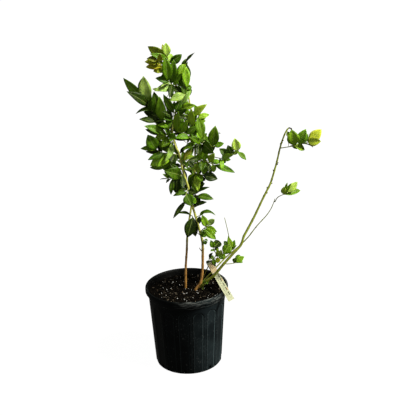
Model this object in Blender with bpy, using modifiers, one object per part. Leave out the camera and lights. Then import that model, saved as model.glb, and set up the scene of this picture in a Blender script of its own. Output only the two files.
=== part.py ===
"""A highbush blueberry in a two-gallon nursery pot: pot, soil, label, canes and leafy shoots.

Metres, +Z up. The origin is the middle of the pot's underside. The plant's places were read off the
photograph in millimetres, on an upright plane through the pot's axis, as (x, z, depth): x to the right,
z up, and depth behind that plane. A piece off the plane is carried along the line of sight.
"""
import itertools
import math
import random

import bmesh
import bpy
from mathutils import Matrix, Vector, noise
from mathutils.bvhtree import BVHTree

MM = 0.001
SEED = 7
GAP = 0.3 * MM

# Pot
POT_HEIGHT = 214 * MM
RIM_RADIUS = 108 * MM
BAND_RADIUS = 102.4 * MM
BODY_TOP_RADIUS = 100.2 * MM
BASE_RADIUS = 88.4 * MM
LIP_DROP = 12 * MM
BAND_BOTTOM = 190 * MM
WALL = 3.2 * MM
FLOOR = 3.0 * MM
POT_STEPS = 32
FLUTES = 16
FLUTE_TURN = math.radians(-90 + 15.6)
FLUTE_TOP = 177 * MM
FLUTE_TOP_WIDTH = 27.5 * MM
FLUTE_FOOT_WIDTH = 24.5 * MM
FLUTE_DEPTH = 0.8 * MM
DRAIN_HOLES = 8
DRAIN_WIDTH = 13 * MM
DRAIN_BOTTOM = 3.5 * MM
DRAIN_TOP = 10.5 * MM

# Soil
SOIL_LEVEL = 201 * MM
SOIL_FALL = 4 * MM
SOIL_ROUGHNESS = 2.4 * MM
SOIL_RINGS = 7
HOLE_POINTS = 5

# Label
LABEL_WIDTH = 15.9 * MM
LABEL_THICKNESS = 0.8 * MM
LABEL_TOP = Vector((61.5, 38, 258)) * MM
LABEL_FOOT = Vector((110.5, -84, 205)) * MM
LABEL_SIDE = Vector((0.80, 0.35, 0.45))
LABEL_LOOP = 38 * MM
LABEL_LOOP_DEPTH = 12 * MM

# Leaves and twigs
BLADE = 0.8 * MM
BLADE_WIDTH = 0.42
BLADE_ARCH = 0.06
BLADE_FOLD = 0.36
TWIG_RADIUS = 1.25 * MM
TWIG_TIP_RADIUS = 0.85 * MM
ROOT_SUNK = 1.6 * MM
CLEARANCE = 1.6 * MM
MARGIN = 0.6 * MM
FREE_ROOT = 6 * MM
FAR_SPREAD = math.radians(45)
FAR_LENGTH = (34 * MM, 46 * MM)
FAR_RISE = (0.1, 0.8)
FAR_ARCH = 0.10

# Blades by length. Each has the stations of its outline along the rib, and how much wider than the true
# outline its corners stand, so that the few straight edges between them cut nothing off the leaf.
SMALL_BLADE = 56 * MM
LONG_BLADE = 76 * MM
BLADES = {
    "small": ((0, 0.28, 0.68, 1), 1.12),
    "short": ((0, 0.20, 0.46, 0.74, 1), 1.07),
    "long": ((0, 0.14, 0.34, 0.58, 0.82, 1), 1.04),
}

# Where a leaf would cross another, its tip is pushed back or forward, or it is turned on its rib
PUSHES = (0, 9, -9, 18, -18, 27, -27, 36, -36, 48, -48)
TWISTS = (0, 25, -25, 50, -50)
LEAF_TRIES = sorted(
    itertools.product(PUSHES, TWISTS), key=lambda pair: abs(pair[0]) / 9 + abs(pair[1]) / 12.5)

# Where the camera stood, for carrying a place along the line of sight
EYE = Vector((5, -1547, 939)) * MM

# Canes: radius at the soil and at the tip in millimetres, the route, and short spurs on it
CANES = {
    "centre": (3.8, 1.5, [
        (14, 152, -10), (22, 195, -10), (36, 216, -8), (42, 250, -4), (44, 294, 0), (44, 332, 2),
        (36, 369, 2), (27, 407, 0), (21, 431, -2), (15, 468, -4), (7, 498, -6), (0, 523, -6),
        (-7, 564, -6), (-14, 580, -5), (-19, 600, -4), (-21, 620, -2), (-17, 645, 0), (-11, 668, 2),
        (-6, 692, 4), (-6, 717, 5), (-11, 745, 4), (-19, 773, 2), (-23, 786, 0)],
        [((41, 306, 0), (35, 315, -5)), ((40, 349, 2), (32, 355, -6))]),
    "left": (3.3, 1.5, [
        (-5, 152, 8), (-3, 203, 6), (-1, 260, 8), (3.5, 310, 10), (5.5, 343, 12), (13, 395, 16),
        (19, 428, 20), (24, 462, 22), (28, 500, 22), (31, 540, 20), (32, 580, 18), (30, 620, 17),
        (26, 660, 16), (21, 700, 15), (16, 735, 14), (11, 760, 12)],
        []),
    "leaning": (4.2, 1.8, [
        (22, 152, 14), (35, 204, 6), (69, 233, -12), (99, 269, -22), (121, 294, -24), (142, 318, -24),
        (150, 341, -24), (175, 390, -22), (198, 440, -20), (219, 485, -18), (232, 532, -17),
        (241, 573, -16), (249, 598, -16), (256, 613, -16), (262, 619, -16), (267, 617, -16),
        (268, 611, -16)],
        [((219, 484, -18), (223, 490, -22)), ((232, 531, -17), (237, 533, -21))]),
    "slim": (2.4, 0.9, [
        (20, 160, 22), (32, 207, 18), (50, 228, 16), (64, 243, 14), (72, 252, 18), (82, 263, 24),
        (106, 288, 30), (132, 310, 30), (143, 320, 29), (162, 340, 26), (183, 368, 22),
        (207, 395, 18), (219, 413, 16), (226, 430, 14), (229, 440, 13)],
        []),
    "basal": (1.7, 1.0, [
        (38, 188, 72), (44, 228, 68), (52, 250, 66), (61, 269, 62), (71, 281, 54), (78, 294, 44),
        (75, 303, 38), (71, 309, 34)],
        []),
    "sprout": (1.2, 0.9, [(42, 176, -6), (42, 190, -6), (42, 202, -6), (43, 208, -6), (44, 213, -7)], []),
}

# Shoots: the cane that each grows from, the route, its leaves, and how many more leaves the far side has.
# A leaf: its place along the twig from 0 to 1, its tip (x, z, depth), the turn of its upper side in
# degrees from facing the viewer up towards the sky, and where they aren't the usual ones, its width in
# millimetres and the arch of its rib.
SHOOTS = {
    "shoot_top": ("centre", [(-23, 782, 0), (-25, 790, -6), (-27, 797, -9)], [
        (1.00, -28, 827, -8, 5, 18), (0.85, -37, 823, 2, 55, 14), (0.70, -70, 820, -6, 15, 22),
        (0.45, -66, 803, -18, 40, 14), (0.05, 8, 800, -2, -20, 20), (0.15, -17, 802, 8, 0, 16),
        (0.55, -66, 809, 12, 10, 16)], 0),
    "shoot_red_tips": ("centre", [(-13, 752, 2), (-28, 764, -14), (-42, 778, -20), (-48, 787, -22)], [
        (1.00, -74, 792, -24, 35, 16), (0.85, -79, 785, -34, 30, 16), (0.70, -77, 773, -20, 20, 17),
        (0.50, -53, 760, -36, 20, 13), (1.00, -43, 803, -18, 30, 14), (0.20, -42, 752, -14, 20, 12),
        (0.55, -60, 763, -26, 10, 15)], 0),
    "shoot_front_pair": ("centre", [(-9, 726, 4), (-17, 731, -8), (-27, 741, -22)], [
        (0.98, -32, 796, -30, 8, 24), (0.55, -11, 789, -22, 0, 22), (0.80, -56, 747, -26, 40, 16, 0.12),
        (0.10, -60, 717, -34, 20, 20), (0.70, -45, 725, -40, 60, 10), (0.20, 4, 700, -12, 0, 18),
        (0.30, 6, 768, -8, 0, 16), (0.40, -25, 700, -4, 0, 15)], 0),
    "shoot_upper_right": ("left", [(12, 757, 12), (9, 766, 5), (12, 773, 0), (16, 779, -3)], [
        (1.00, 38, 803, -2, 55, 9), (0.97, -1, 753, -18, 15, 17), (0.80, 18, 721, -26, 5, 19),
        (0.30, 24, 735, -4, 10, 16), (0.15, 4, 722, 2, 0, 18), (0.40, 28, 718, 6, 0, 18),
        (0.60, -5, 761, -10, 10, 13)], 0),
    "shoot_pale": ("centre", [(-11, 665, 2), (0, 683, -14), (9, 697, -20), (13, 708, -22)], [
        (1.00, -25, 693, -34, 15, 19), (0.40, 26, 715, -30, 20, 19), (0.85, 9, 748, -18, 10, 15),
        (0.15, 37, 681, -24, 15, 18), (0.10, 20, 690, -12, 0, 16),
        (0.10, -14, 692, -14, 0, 16)], 0),
    "shoot_left_high": ("centre", [
        (-20, 612, -2), (-38, 640, -10), (-56, 662, -14), (-72, 681, -16), (-83, 698, -16)], [
        (1.00, -131, 750, -10, -20, 21), (0.96, -84, 753, -20, 5, 28), (0.82, -125, 718, -26, 20, 22),
        (0.55, -61, 716, -30, 5, 26), (0.38, -48, 704, -24, -10, 24), (0.85, -69, 716, 0, 20, 12),
        (0.66, -107, 664, -22, 50, 13, 0.20), (0.46, -88, 669, -14, 15, 19), (0.32, -76, 653, -10, 0, 19),
        (0.18, -60, 641, -6, 0, 18), (0.60, -86, 680, -4, 0, 18), (0.70, -72, 700, 24, 10, 20)], 0),
    "shoot_left_mid": ("centre", [(-17, 592, -5), (-35, 612, -18), (-52, 630, -24), (-62, 643, -26)], [
        (1.00, -99, 651, -26, 35, 16), (0.45, -88, 634, -36, 25, 20), (0.90, -28, 627, -40, 35, 13),
        (0.35, -49, 580, -36, -20, 20), (0.10, -45, 541, -44, -30, 15, 0.16),
        (0.40, -64, 603, -18, 10, 17), (0.20, -46, 640, -26, 20, 15), (0.15, -46, 575, -12, 0, 16),
        (0.80, -74, 616, -10, 10, 15)], 1),
    "shoot_left_low": ("centre", [(-8, 562, -6), (-30, 565, -18), (-50, 568, -24), (-63, 576, -26)], [
        (1.00, -81, 613, -26, -5, 29), (0.95, -100, 579, -34, 35, 15), (0.60, -84, 550, -34, 15, 14),
        (0.42, -79, 535, -24, 0, 24), (0.30, -50, 528, -14, 0, 20), (0.15, -27, 541, -30, 0, 22),
        (0.35, -64, 532, -8, 0, 18), (0.10, -36, 525, 6, 0, 20), (0.25, -60, 600, 6, 0, 18),
        (0.05, -19, 585, 12, 0, 13)], 0),
    "shoot_left_foot": ("centre", [(3, 512, -6), (-12, 507, -20), (-26, 502, -28), (-35, 498, -32)], [
        (0.12, -43, 521, -40, 0, 30), (0.95, -50, 514, -34, 40, 8), (1.00, -57, 500, -34, 75, 7),
        (0.80, -42, 490, -42, 60, 9), (0.45, -18, 463, -42, -10, 24), (0.70, -31, 459, -34, 15, 12, 0.10),
        (0.30, -32, 476, -14, 0, 18), (0.20, -6, 476, -30, -10, 19),
        (0.05, -3, 473, -10, 0, 15), (0.03, -33, 542, -12, 0, 13)], 0),
    "shoot_low_hanging": ("centre", [(13, 474, -4), (9, 466, -16), (5, 454, -24), (7, 441, -28)], [
        (0.45, 20, 428, -34, 0, 28), (0.95, -28, 397, -34, 30, 13, 0.0), (0.30, -26, 456, -24, 30, 12),
        (0.10, -22, 471, -14, 30, 12), (0.70, 32, 436, -26, 20, 18), (0.15, 30, 462, -20, 0, 19),
        (0.30, 1, 439, -18, 0, 15)], 0),
    "shoot_left_cane_low": ("left", [(15, 404, 16), (20, 402, 4), (22, 397, -6)], [
        (0.95, 6, 344, -14, 0, 28), (0.75, 27, 346, -4, -10, 22), (0.20, -15, 410, 2, 55, 12, 0.13)], 0),
    "shoot_dark_low": ("left", [(20, 432, 20), (25, 429, 8), (30, 427, 2)], [
        (1.00, 58, 437, -8, 35, 12, 0.10), (0.20, 34, 428, -4, 10, 12)], 0),
    "shoot_right_low": ("left", [(24, 460, 22), (29, 459, 8), (33, 453, -4)], [
        (1.00, 75, 444, -10, 25, 18), (0.90, 34, 432, -14, 0, 18),
        (0.50, 28, 493, -2, 0, 17), (0.08, 66, 476, 4, 50, 12), (0.30, 31, 446, 8, 0, 14),
        (0.20, 54, 487, 8, 20, 13)], 0),
    "shoot_right_bright": ("left", [(29, 513, 22), (34, 512, 10), (43, 509, 0), (50, 507, -8)], [
        (0.30, 37, 465, -8, -12, 17), (0.40, 47, 490, -18, 15, 16), (1.00, 86, 496, -10, 10, 22),
        (0.95, 60, 532, -10, 20, 14), (0.20, 18, 478, -2, 0, 18), (0.06, 12, 490, 16, 0, 17)], 0),
    "shoot_right_mid": ("left", [(31, 543, 20), (48, 545, 8), (66, 538, -2), (80, 531, -6)], [
        (1.00, 129, 511, -10, 25, 16, 0.02), (0.85, 77, 514, -2, 20, 15), (0.60, 66, 512, -20, 30, 13),
        (0.70, 80, 562, -12, 15, 18), (0.35, 47, 517, -20, 0, 19), (0.45, 55, 577, -12, 0, 18),
        (0.15, 44, 566, -6, 10, 16), (0.55, 70, 506, -12, 0, 14), (0.10, 37, 510, -4, 0, 17),
        (0.50, 55, 508, 6, 0, 17), (0.80, 92, 541, 24, 20, 14)], 0),
    "shoot_right_branch": ("left", [
        (32, 562, 19), (52, 560, 10), (76, 553, 0), (98, 548, -6), (113, 549, -8), (126, 557, -10),
        (136, 565, -10)], [
        (1.00, 129, 598, -14, 5, 22), (1.00, 157, 542, -16, 30, 13, 0.04), (0.84, 112, 581, -16, 5, 18),
        (0.78, 91, 573, -14, 15, 18), (0.55, 98, 520, -10, 30, 13), (0.70, 101, 537, -8, 20, 12),
        (0.60, 127, 557, -6, 10, 14)], 0),
    "shoot_right_dark": ("left", [
        (31, 592, 18), (52, 589, 6), (70, 581, -4), (79, 578, -8), (90, 581, -10)], [
        (0.75, 83, 630, -12, 5, 26), (0.80, 103, 586, -10, 15, 14), (0.32, 78, 562, -24, 0, 28),
        (0.04, 2, 572, -4, 20, 13), (0.45, 54, 552, -28, -5, 24), (0.55, 48, 610, -16, 20, 18),
        (0.15, 39, 557, 2, 0, 20), (0.55, 78, 569, 8, 0, 17), (0.65, 66, 602, 26, 20, 20)], 0),
    "shoot_right_lime": ("left", [(29, 635, 17), (36, 645, 6), (43, 653, -2), (46, 660, -5)], [
        (0.70, 51, 598, -18, 5, 23), (0.60, 69, 657, -18, 25, 14), (0.20, 60, 642, -4, 10, 14),
        (1.00, 33, 681, -16, 10, 16), (0.40, 22, 668, -20, 20, 16),
        (0.30, 38, 614, -26, 0, 17), (0.15, 58, 624, -4, 5, 19), (0.80, 40, 677, -4, 10, 15),
        (0.10, 42, 590, -4, 0, 18)], 0),
    "shoot_inner": ("centre", [(-20, 614, -3), (-6, 617, -18), (10, 612, -28), (22, 602, -32)], [
        (1.00, -16, 603, -44, 30, 15, 0.08), (0.97, 47, 589, -38, 10, 15), (0.45, 16, 645, -40, 5, 19),
        (0.75, 38, 628, -34, 15, 16), (0.25, -12, 655, -30, 0, 16),
        (0.35, 4, 652, -20, 10, 17), (0.10, -30, 594, -12, 0, 15),
        (0.30, -5, 668, -34, 0, 18), (0.90, -16, 598, -34, 60, 12, 0.20)], 0),
    "shoot_mid_left": ("centre", [(-18, 640, -1), (-20, 650, -14), (-17, 661, -24), (-12, 668, -28)], [
        (0.85, -39, 709, -34, -10, 17), (0.60, 12, 652, -38, 20, 16), (0.50, -44, 668, -30, 25, 15),
        (1.00, 2, 694, -34, 0, 17), (0.35, -36, 632, -28, 10, 16), (0.30, 4, 634, -24, 0, 16),
        (0.95, 16, 673, -24, 0, 17), (0.40, -41, 650, -12, 0, 16)], 0),
    "shoot_mid_right": ("left", [(31, 606, 18), (30, 618, 4), (27, 636, -10), (29, 655, -18)], [
        (1.00, 64, 682, -20, 25, 17), (0.55, 27, 673, -24, 5, 18), (0.45, 6, 650, -12, 10, 17),
        (0.25, 27, 586, -6, 0, 17), (0.45, 30, 598, -20, 0, 16)], 0),
    "shoot_gap": ("centre", [(-3, 541, -6), (3, 545, -18), (9, 546, -26), (15, 543, -30)], [
        (0.60, 29, 557, -32, 50, 12), (1.00, 28, 528, -34, 10, 14), (0.90, 40, 550, -26, 5, 16),
        (0.40, 24, 572, -18, 20, 13), (0.30, 30, 581, -6, 0, 17), (0.10, 3, 570, 8, 0, 13)], 0),
    "shoot_curl": ("centre", [(44, 331, 1), (47, 335, -6), (50, 336, -9)], [
        (1.00, 53, 323, -12, 0, 11), (0.90, 58, 334, -10, 20, 7)], 0),
    "shoot_green_low": ("centre", [(39, 360, 2), (47, 366, -8), (54, 371, -14), (59, 374, -16)], [
        (0.80, 45, 404, -20, 10, 17), (1.00, 76, 391, -20, 165, 15), (0.55, 79, 336, -20, 0, 18),
        (0.75, 82, 356, -16, 20, 14), (0.30, 53, 353, -20, 30, 14), (0.10, 52, 343, -8, 0, 17)], 0),
    "shoot_arched": ("centre", [(29, 400, 0), (36, 401, -8), (41, 402, -12)], [
        (0.95, 79, 401, -18, 56, 14, 0.27), (0.85, 38, 380, -18, 20, 12)], 0),
    "shoot_basal_pair": ("basal", [(74, 305, 37), (72, 310, 30), (71, 314, 26)], [
        (0.95, 65, 335, 22, 10, 14), (1.00, 89, 330, 20, 5, 21), (0.10, 64, 304, 20, 50, 9),
        (0.50, 85, 311, 24, 0, 13)], 0),
    "shoot_basal_tuft": ("basal", [(76, 290, 43), (82, 289, 36), (88, 290, 32)], [
        (1.00, 92, 307, 28, 0, 14), (0.90, 103, 286, 30, 15, 15), (0.50, 82, 270, 34, 10, 13),
        (0.30, 82, 311, 36, 0, 12)], 0),
    "shoot_basal_foot": ("basal", [(64, 273, 60), (60, 279, 54), (60, 286, 50)], [
        (0.60, 55, 270, 48, 0, 10), (1.00, 70, 300, 44, 30, 9), (0.90, 73, 285, 42, 15, 12),
        (0.30, 78, 262, 46, 0, 14)], 0),
    "shoot_sprout": ("sprout", [(43, 209, -6), (47, 212, -11), (48, 214, -14)], [
        (1.00, 45, 223, -16, 10, 8), (0.80, 57, 216, -18, 20, 7)], 0),
    "shoot_slim_pair": ("slim", [
        (118, 299, 30), (117, 311, 22), (113, 335, 18), (108, 364, 16), (101.5, 394, 14)], [
        (0.28, 98, 294, 12, 0, 25), (0.10, 110, 344, 10, 10, 14), (0.05, 127, 333, 26, 0, 13),
        (0.06, 132, 318, 22, 50, 8)], 0),
    "shoot_leaning_low": ("leaning", [(101, 270, -22), (111, 267, -28), (122, 268, -30), (131, 270, -30)], [
        (1.00, 151, 286, -30, 15, 16), (0.70, 131, 283, -30, 20, 12), (0.90, 139, 291, -34, 0, 14),
        (0.80, 147, 271, -50, 15, 13)], 0),
    "shoot_leaning_top": ("leaning", [
        (242, 571, -16), (262, 572, -22), (280, 575, -24), (297, 580, -24), (312, 582, -24)], [
        (0.47, 268, 615, -26, 0, 29), (0.62, 303, 615, -26, 5, 23), (1.00, 341, 613, -22, 0, 25),
        (0.85, 309, 603, -32, 10, 9), (0.45, 301, 563, -32, 35, 19), (0.95, 341, 583, -30, 10, 22)], 2),
    "shoot_slim_tip": ("slim", [(227, 434, 14), (236, 443, 9), (250, 450, 7), (262, 455, 7)], [
        (0.70, 252, 471, 3, 10, 13), (0.85, 260, 481, 7, 30, 9), (0.92, 270, 479, 3, 40, 8),
        (1.00, 285, 482, 1, 0, 17), (0.70, 293, 459, -8, 20, 17)], 0),
    "shoot_far_low": ("left", [(27, 490, 25), (24, 508, 44), (16, 520, 62), (10, 528, 76)], [], 6),
    "shoot_far_right": ("left", [(32, 570, 21), (48, 586, 40), (64, 598, 56), (74, 606, 66)], [], 5),
    "shoot_far_left": ("centre", [(-20, 604, 1), (-34, 618, 24), (-46, 632, 42), (-54, 644, 54)], [], 5),
    "shoot_far_mid": ("left", [(29, 630, 20), (20, 644, 38), (8, 656, 56), (0, 668, 68)], [], 6),
    "shoot_far_high": ("left", [(22, 680, 18), (16, 694, 36), (10, 706, 50), (4, 716, 60)], [], 5),
    "shoot_far_top": ("centre", [(-8, 722, 8), (-10, 728, 24), (-12, 734, 36), (-14, 738, 44)], [], 4),
}

LEAF_GREEN = (0.060, 0.150, 0.020)
LIME_GREEN = (0.300, 0.480, 0.060)
RED_GREEN = (0.170, 0.180, 0.020)
SHOOT_COLOURS = {
    "shoot_red_tips": RED_GREEN,
    "shoot_right_lime": LIME_GREEN,
    "shoot_right_bright": LIME_GREEN,
    "shoot_pale": LIME_GREEN,
}
CANE_COLOURS = {
    "centre": (0.230, 0.110, 0.030),
    "left": (0.190, 0.085, 0.025),
    "leaning": (0.110, 0.130, 0.020),
    "slim": (0.140, 0.180, 0.030),
    "basal": (0.150, 0.120, 0.040),
    "sprout": (0.140, 0.180, 0.030),
}

part = None
cutters = None


def at(x, z, depth=0.0):
    """The point that is seen at (x, z) on the reading plane, depth millimetres behind it."""
    seen = Vector((x, 0, z)) * MM
    return EYE + (seen - EYE) * (1 - depth * MM / EYE.y)


def new_material(name, colour, roughness, metallic=0.0):
    material = bpy.data.materials.new(name)
    material.use_nodes = True
    shader = material.node_tree.nodes["Principled BSDF"]
    shader.inputs["Base Color"].default_value = (*colour, 1)
    shader.inputs["Roughness"].default_value = roughness
    shader.inputs["Metallic"].default_value = metallic
    return material


def new_object(name, data, collection):
    thing = bpy.data.objects.new(name, data)
    collection.objects.link(thing)
    return thing


def finished(thing, material, angle=40):
    thing.data.materials.clear()
    thing.data.materials.append(material)
    thing.data.shade_smooth()
    thing.data.set_sharp_from_angle(angle=math.radians(angle))


def apply_modifiers(thing):
    """Put the evaluated mesh in place of the object's own, and drop its modifiers."""
    evaluated = thing.evaluated_get(bpy.context.evaluated_depsgraph_get())
    mesh = bpy.data.meshes.new_from_object(evaluated)
    thing.modifiers.clear()
    thing.data = mesh


def turned(name, profile, steps, collection):
    """A solid of revolution: the profile, in metres, runs from the axis round the section and back."""
    mesh = bpy.data.meshes.new(name)
    points = [(radius, 0, height) for radius, height in profile]
    mesh.from_pydata(points, [(i, i + 1) for i in range(len(points) - 1)], [])
    thing = new_object(name, mesh, collection)
    screw = thing.modifiers.new("turn", "SCREW")
    screw.steps = steps
    screw.render_steps = steps
    screw.use_merge_vertices = True
    screw.merge_threshold = 0.00005
    apply_modifiers(thing)
    return thing


def boolean(thing, operation, collection, solver="EXACT"):
    """Join or cut the object with every object of a collection, then remove those objects."""
    modifier = thing.modifiers.new(operation.lower(), "BOOLEAN")
    modifier.operation = operation
    modifier.operand_type = "COLLECTION"
    modifier.collection = collection
    modifier.solver = solver
    apply_modifiers(thing)
    for tool in list(collection.objects):
        bpy.data.objects.remove(tool)


def smooth_route(points, spacing):
    """A curve through the points, with a point about every spacing metres."""
    ends = [points[0] * 2 - points[1], *points, points[-1] * 2 - points[-2]]
    route = [points[0]]
    for before, start, end, after in zip(ends, ends[1:], ends[2:], ends[3:]):
        count = max(1, round((end - start).length / spacing))
        for i in range(1, count + 1):
            t = i / count
            route.append(0.5 * (
                2 * start + (end - before) * t
                + (2 * before - 5 * start + 4 * end - after) * t ** 2
                + (3 * start - 3 * end + after - before) * t ** 3))
    return route


def tube(name, route, start_radius, end_radius, collection, resolution=1):
    """A closed, tapering tube along a route of points."""
    curve = bpy.data.curves.new(name, "CURVE")
    curve.dimensions = "3D"
    curve.bevel_depth = 1.0
    curve.bevel_resolution = resolution
    curve.use_fill_caps = True
    spline = curve.splines.new("POLY")
    spline.points.add(len(route) - 1)
    for i, place in enumerate(route):
        spline.points[i].co = (*place, 1)
        spline.points[i].radius = start_radius + (end_radius - start_radius) * i / (len(route) - 1)
    carrier = new_object(name + "_curve", curve, collection)
    evaluated = carrier.evaluated_get(bpy.context.evaluated_depsgraph_get())
    mesh = bpy.data.meshes.new_from_object(evaluated)
    bpy.data.objects.remove(carrier)
    shape = bmesh.new()
    shape.from_mesh(mesh)
    bmesh.ops.remove_doubles(shape, verts=shape.verts, dist=0.00001)
    shape.to_mesh(mesh)
    shape.free()
    return new_object(name, mesh, collection)


def make_pot():
    """The pot's wall is a turned profile; flutes and drain holes are cut out of it."""
    top, skirt = POT_HEIGHT, POT_HEIGHT - LIP_DROP
    profile = [
        (0, FLOOR), (BASE_RADIUS - WALL, FLOOR), (BODY_TOP_RADIUS - WALL, BAND_BOTTOM),
        (BAND_RADIUS - WALL, BAND_BOTTOM + 3 * MM), (BAND_RADIUS - WALL + 0.6 * MM, top - 7 * MM),
        (RIM_RADIUS - 5 * MM, top - 1 * MM), (RIM_RADIUS - 3 * MM, top),
        (RIM_RADIUS - 0.8 * MM, top - 0.8 * MM),
        (RIM_RADIUS, top - 3 * MM), (RIM_RADIUS, skirt), (RIM_RADIUS - 2 * MM, skirt),
        (RIM_RADIUS - 2.6 * MM, top - 6 * MM), (BAND_RADIUS + 0.6 * MM, top - 7 * MM),
        (BAND_RADIUS, BAND_BOTTOM + 1.5 * MM), (BODY_TOP_RADIUS, BAND_BOTTOM - 1 * MM),
        (BASE_RADIUS, 2 * MM), (BASE_RADIUS - 1.5 * MM, 0), (0, 0),
    ]
    pot = turned("pot", profile, POT_STEPS, part)
    for i in range(FLUTES):
        cut_flute(i)
    for i in range(DRAIN_HOLES):
        cut_drain(i)
    boolean(pot, "DIFFERENCE", cutters)
    finished(pot, new_material("pot plastic", (0.012, 0.013, 0.014), 0.55), 30)


def hide_cutter(cutter):
    cutter.hide_render = True
    cutter.display_type = "WIRE"


def cut_flute(index):
    """A flat, round-topped slot that leans with the wall and runs out through the pot's foot."""
    curve = bpy.data.curves.new("flute", "CURVE")
    curve.dimensions = "2D"
    curve.fill_mode = "BOTH"
    curve.extrude = 6 * MM
    half, foot = FLUTE_TOP_WIDTH / 2, FLUTE_FOOT_WIDTH / 2
    arc = [
        (half * math.cos(math.pi * i / 8), FLUTE_TOP - half + half * math.sin(math.pi * i / 8))
        for i in range(9)]
    outline = [(foot, -5 * MM), *arc, (-foot, -5 * MM)]
    spline = curve.splines.new("POLY")
    spline.use_cyclic_u = True
    spline.points.add(len(outline) - 1)
    for point, (across, height) in zip(spline.points, outline):
        point.co = (across, height, 0, 1)
    angle = FLUTE_TURN + index * 2 * math.pi / FLUTES
    draft = math.atan2(BODY_TOP_RADIUS - BASE_RADIUS, BAND_BOTTOM)
    edge_depth = BASE_RADIUS - math.sqrt(BASE_RADIUS ** 2 - foot ** 2) + FLUTE_DEPTH
    carrier = new_object("flute_curve", curve, cutters)
    carrier.matrix_world = (
        Matrix.Rotation(angle + math.pi / 2, 4, "Z")
        @ Matrix.Translation((0, -(BASE_RADIUS - edge_depth + 6 * MM), 0))
        @ Matrix.Rotation(math.pi / 2 + draft, 4, "X"))
    bpy.context.view_layer.update()
    evaluated = carrier.evaluated_get(bpy.context.evaluated_depsgraph_get())
    mesh = bpy.data.meshes.new_from_object(evaluated)
    shape = bmesh.new()
    shape.from_mesh(mesh)
    bmesh.ops.remove_doubles(shape, verts=shape.verts, dist=0.00001)
    shape.transform(carrier.matrix_world)
    shape.to_mesh(mesh)
    shape.free()
    bpy.data.objects.remove(carrier)
    hide_cutter(new_object(f"flute_{index}", mesh, cutters))


def cut_drain(index):
    """A drain slot through the foot of the wall, in every other flute."""
    mesh = bpy.data.meshes.new("drain")
    shape = bmesh.new()
    bmesh.ops.create_cube(shape, size=1)
    bmesh.ops.scale(shape, verts=shape.verts, vec=(12 * MM, DRAIN_WIDTH, DRAIN_TOP - DRAIN_BOTTOM))
    bmesh.ops.translate(shape, verts=shape.verts, vec=(BASE_RADIUS, 0, (DRAIN_BOTTOM + DRAIN_TOP) / 2))
    angle = FLUTE_TURN + (2 * index + 1) * 2 * math.pi / FLUTES
    bmesh.ops.rotate(shape, verts=shape.verts, matrix=Matrix.Rotation(angle, 3, "Z"))
    shape.to_mesh(mesh)
    shape.free()
    hide_cutter(new_object(f"drain_{index}", mesh, cutters))


def make_soil(canes):
    """The soil fills the pot: a spun section with a rough, slightly domed top, and a hole for each stem."""
    inner_top = BAND_RADIUS - WALL - GAP
    low_radius = BASE_RADIUS - WALL - GAP
    high_radius = BODY_TOP_RADIUS - WALL - GAP
    mesh = bpy.data.meshes.new("soil")
    shape = bmesh.new()
    top = [
        (inner_top * i / SOIL_RINGS, SOIL_LEVEL - SOIL_FALL * (i / SOIL_RINGS) ** 2)
        for i in range(SOIL_RINGS + 1)]
    section = top + [
        (inner_top, BAND_BOTTOM + 3 * MM), (high_radius, BAND_BOTTOM), (low_radius, FLOOR + GAP),
        (0, FLOOR + GAP)]
    verts = [shape.verts.new((radius, 0, height)) for radius, height in section]
    edges = [shape.edges.new(pair) for pair in zip(verts, verts[1:])]
    bmesh.ops.spin(
        shape, geom=verts + edges, cent=(0, 0, 0), axis=(0, 0, 1), angle=2 * math.pi,
        steps=POT_STEPS, use_merge=True)
    bmesh.ops.remove_doubles(shape, verts=shape.verts, dist=0.00001)
    for vert in shape.verts:
        across = math.hypot(vert.co.x, vert.co.y) / inner_top
        if vert.co.z > BAND_BOTTOM + 4 * MM:
            rough = noise.noise(vert.co * 95) + 0.8 * noise.noise(vert.co * 240 + Vector((3, 1, 0)))
            vert.co.z += SOIL_ROUGHNESS * rough * (1 - 0.6 * across ** 6)
    bmesh.ops.triangulate(shape, faces=shape.faces)
    bmesh.ops.recalc_face_normals(shape, faces=shape.faces)
    shape.to_mesh(mesh)
    shape.free()
    soil = new_object("soil", mesh, part)
    for name, (route, radius, _) in canes.items():
        foot = route[0] + (route[0] - route[1]).normalized() * GAP
        hole = tube("hole_" + name, [foot, *route[1:HOLE_POINTS]], radius + GAP, radius + GAP, cutters, 2)
        hide_cutter(hole)
    boolean(soil, "DIFFERENCE", cutters)
    finished(soil, new_material("bark mix", (0.030, 0.022, 0.016), 0.95), 60)


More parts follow.
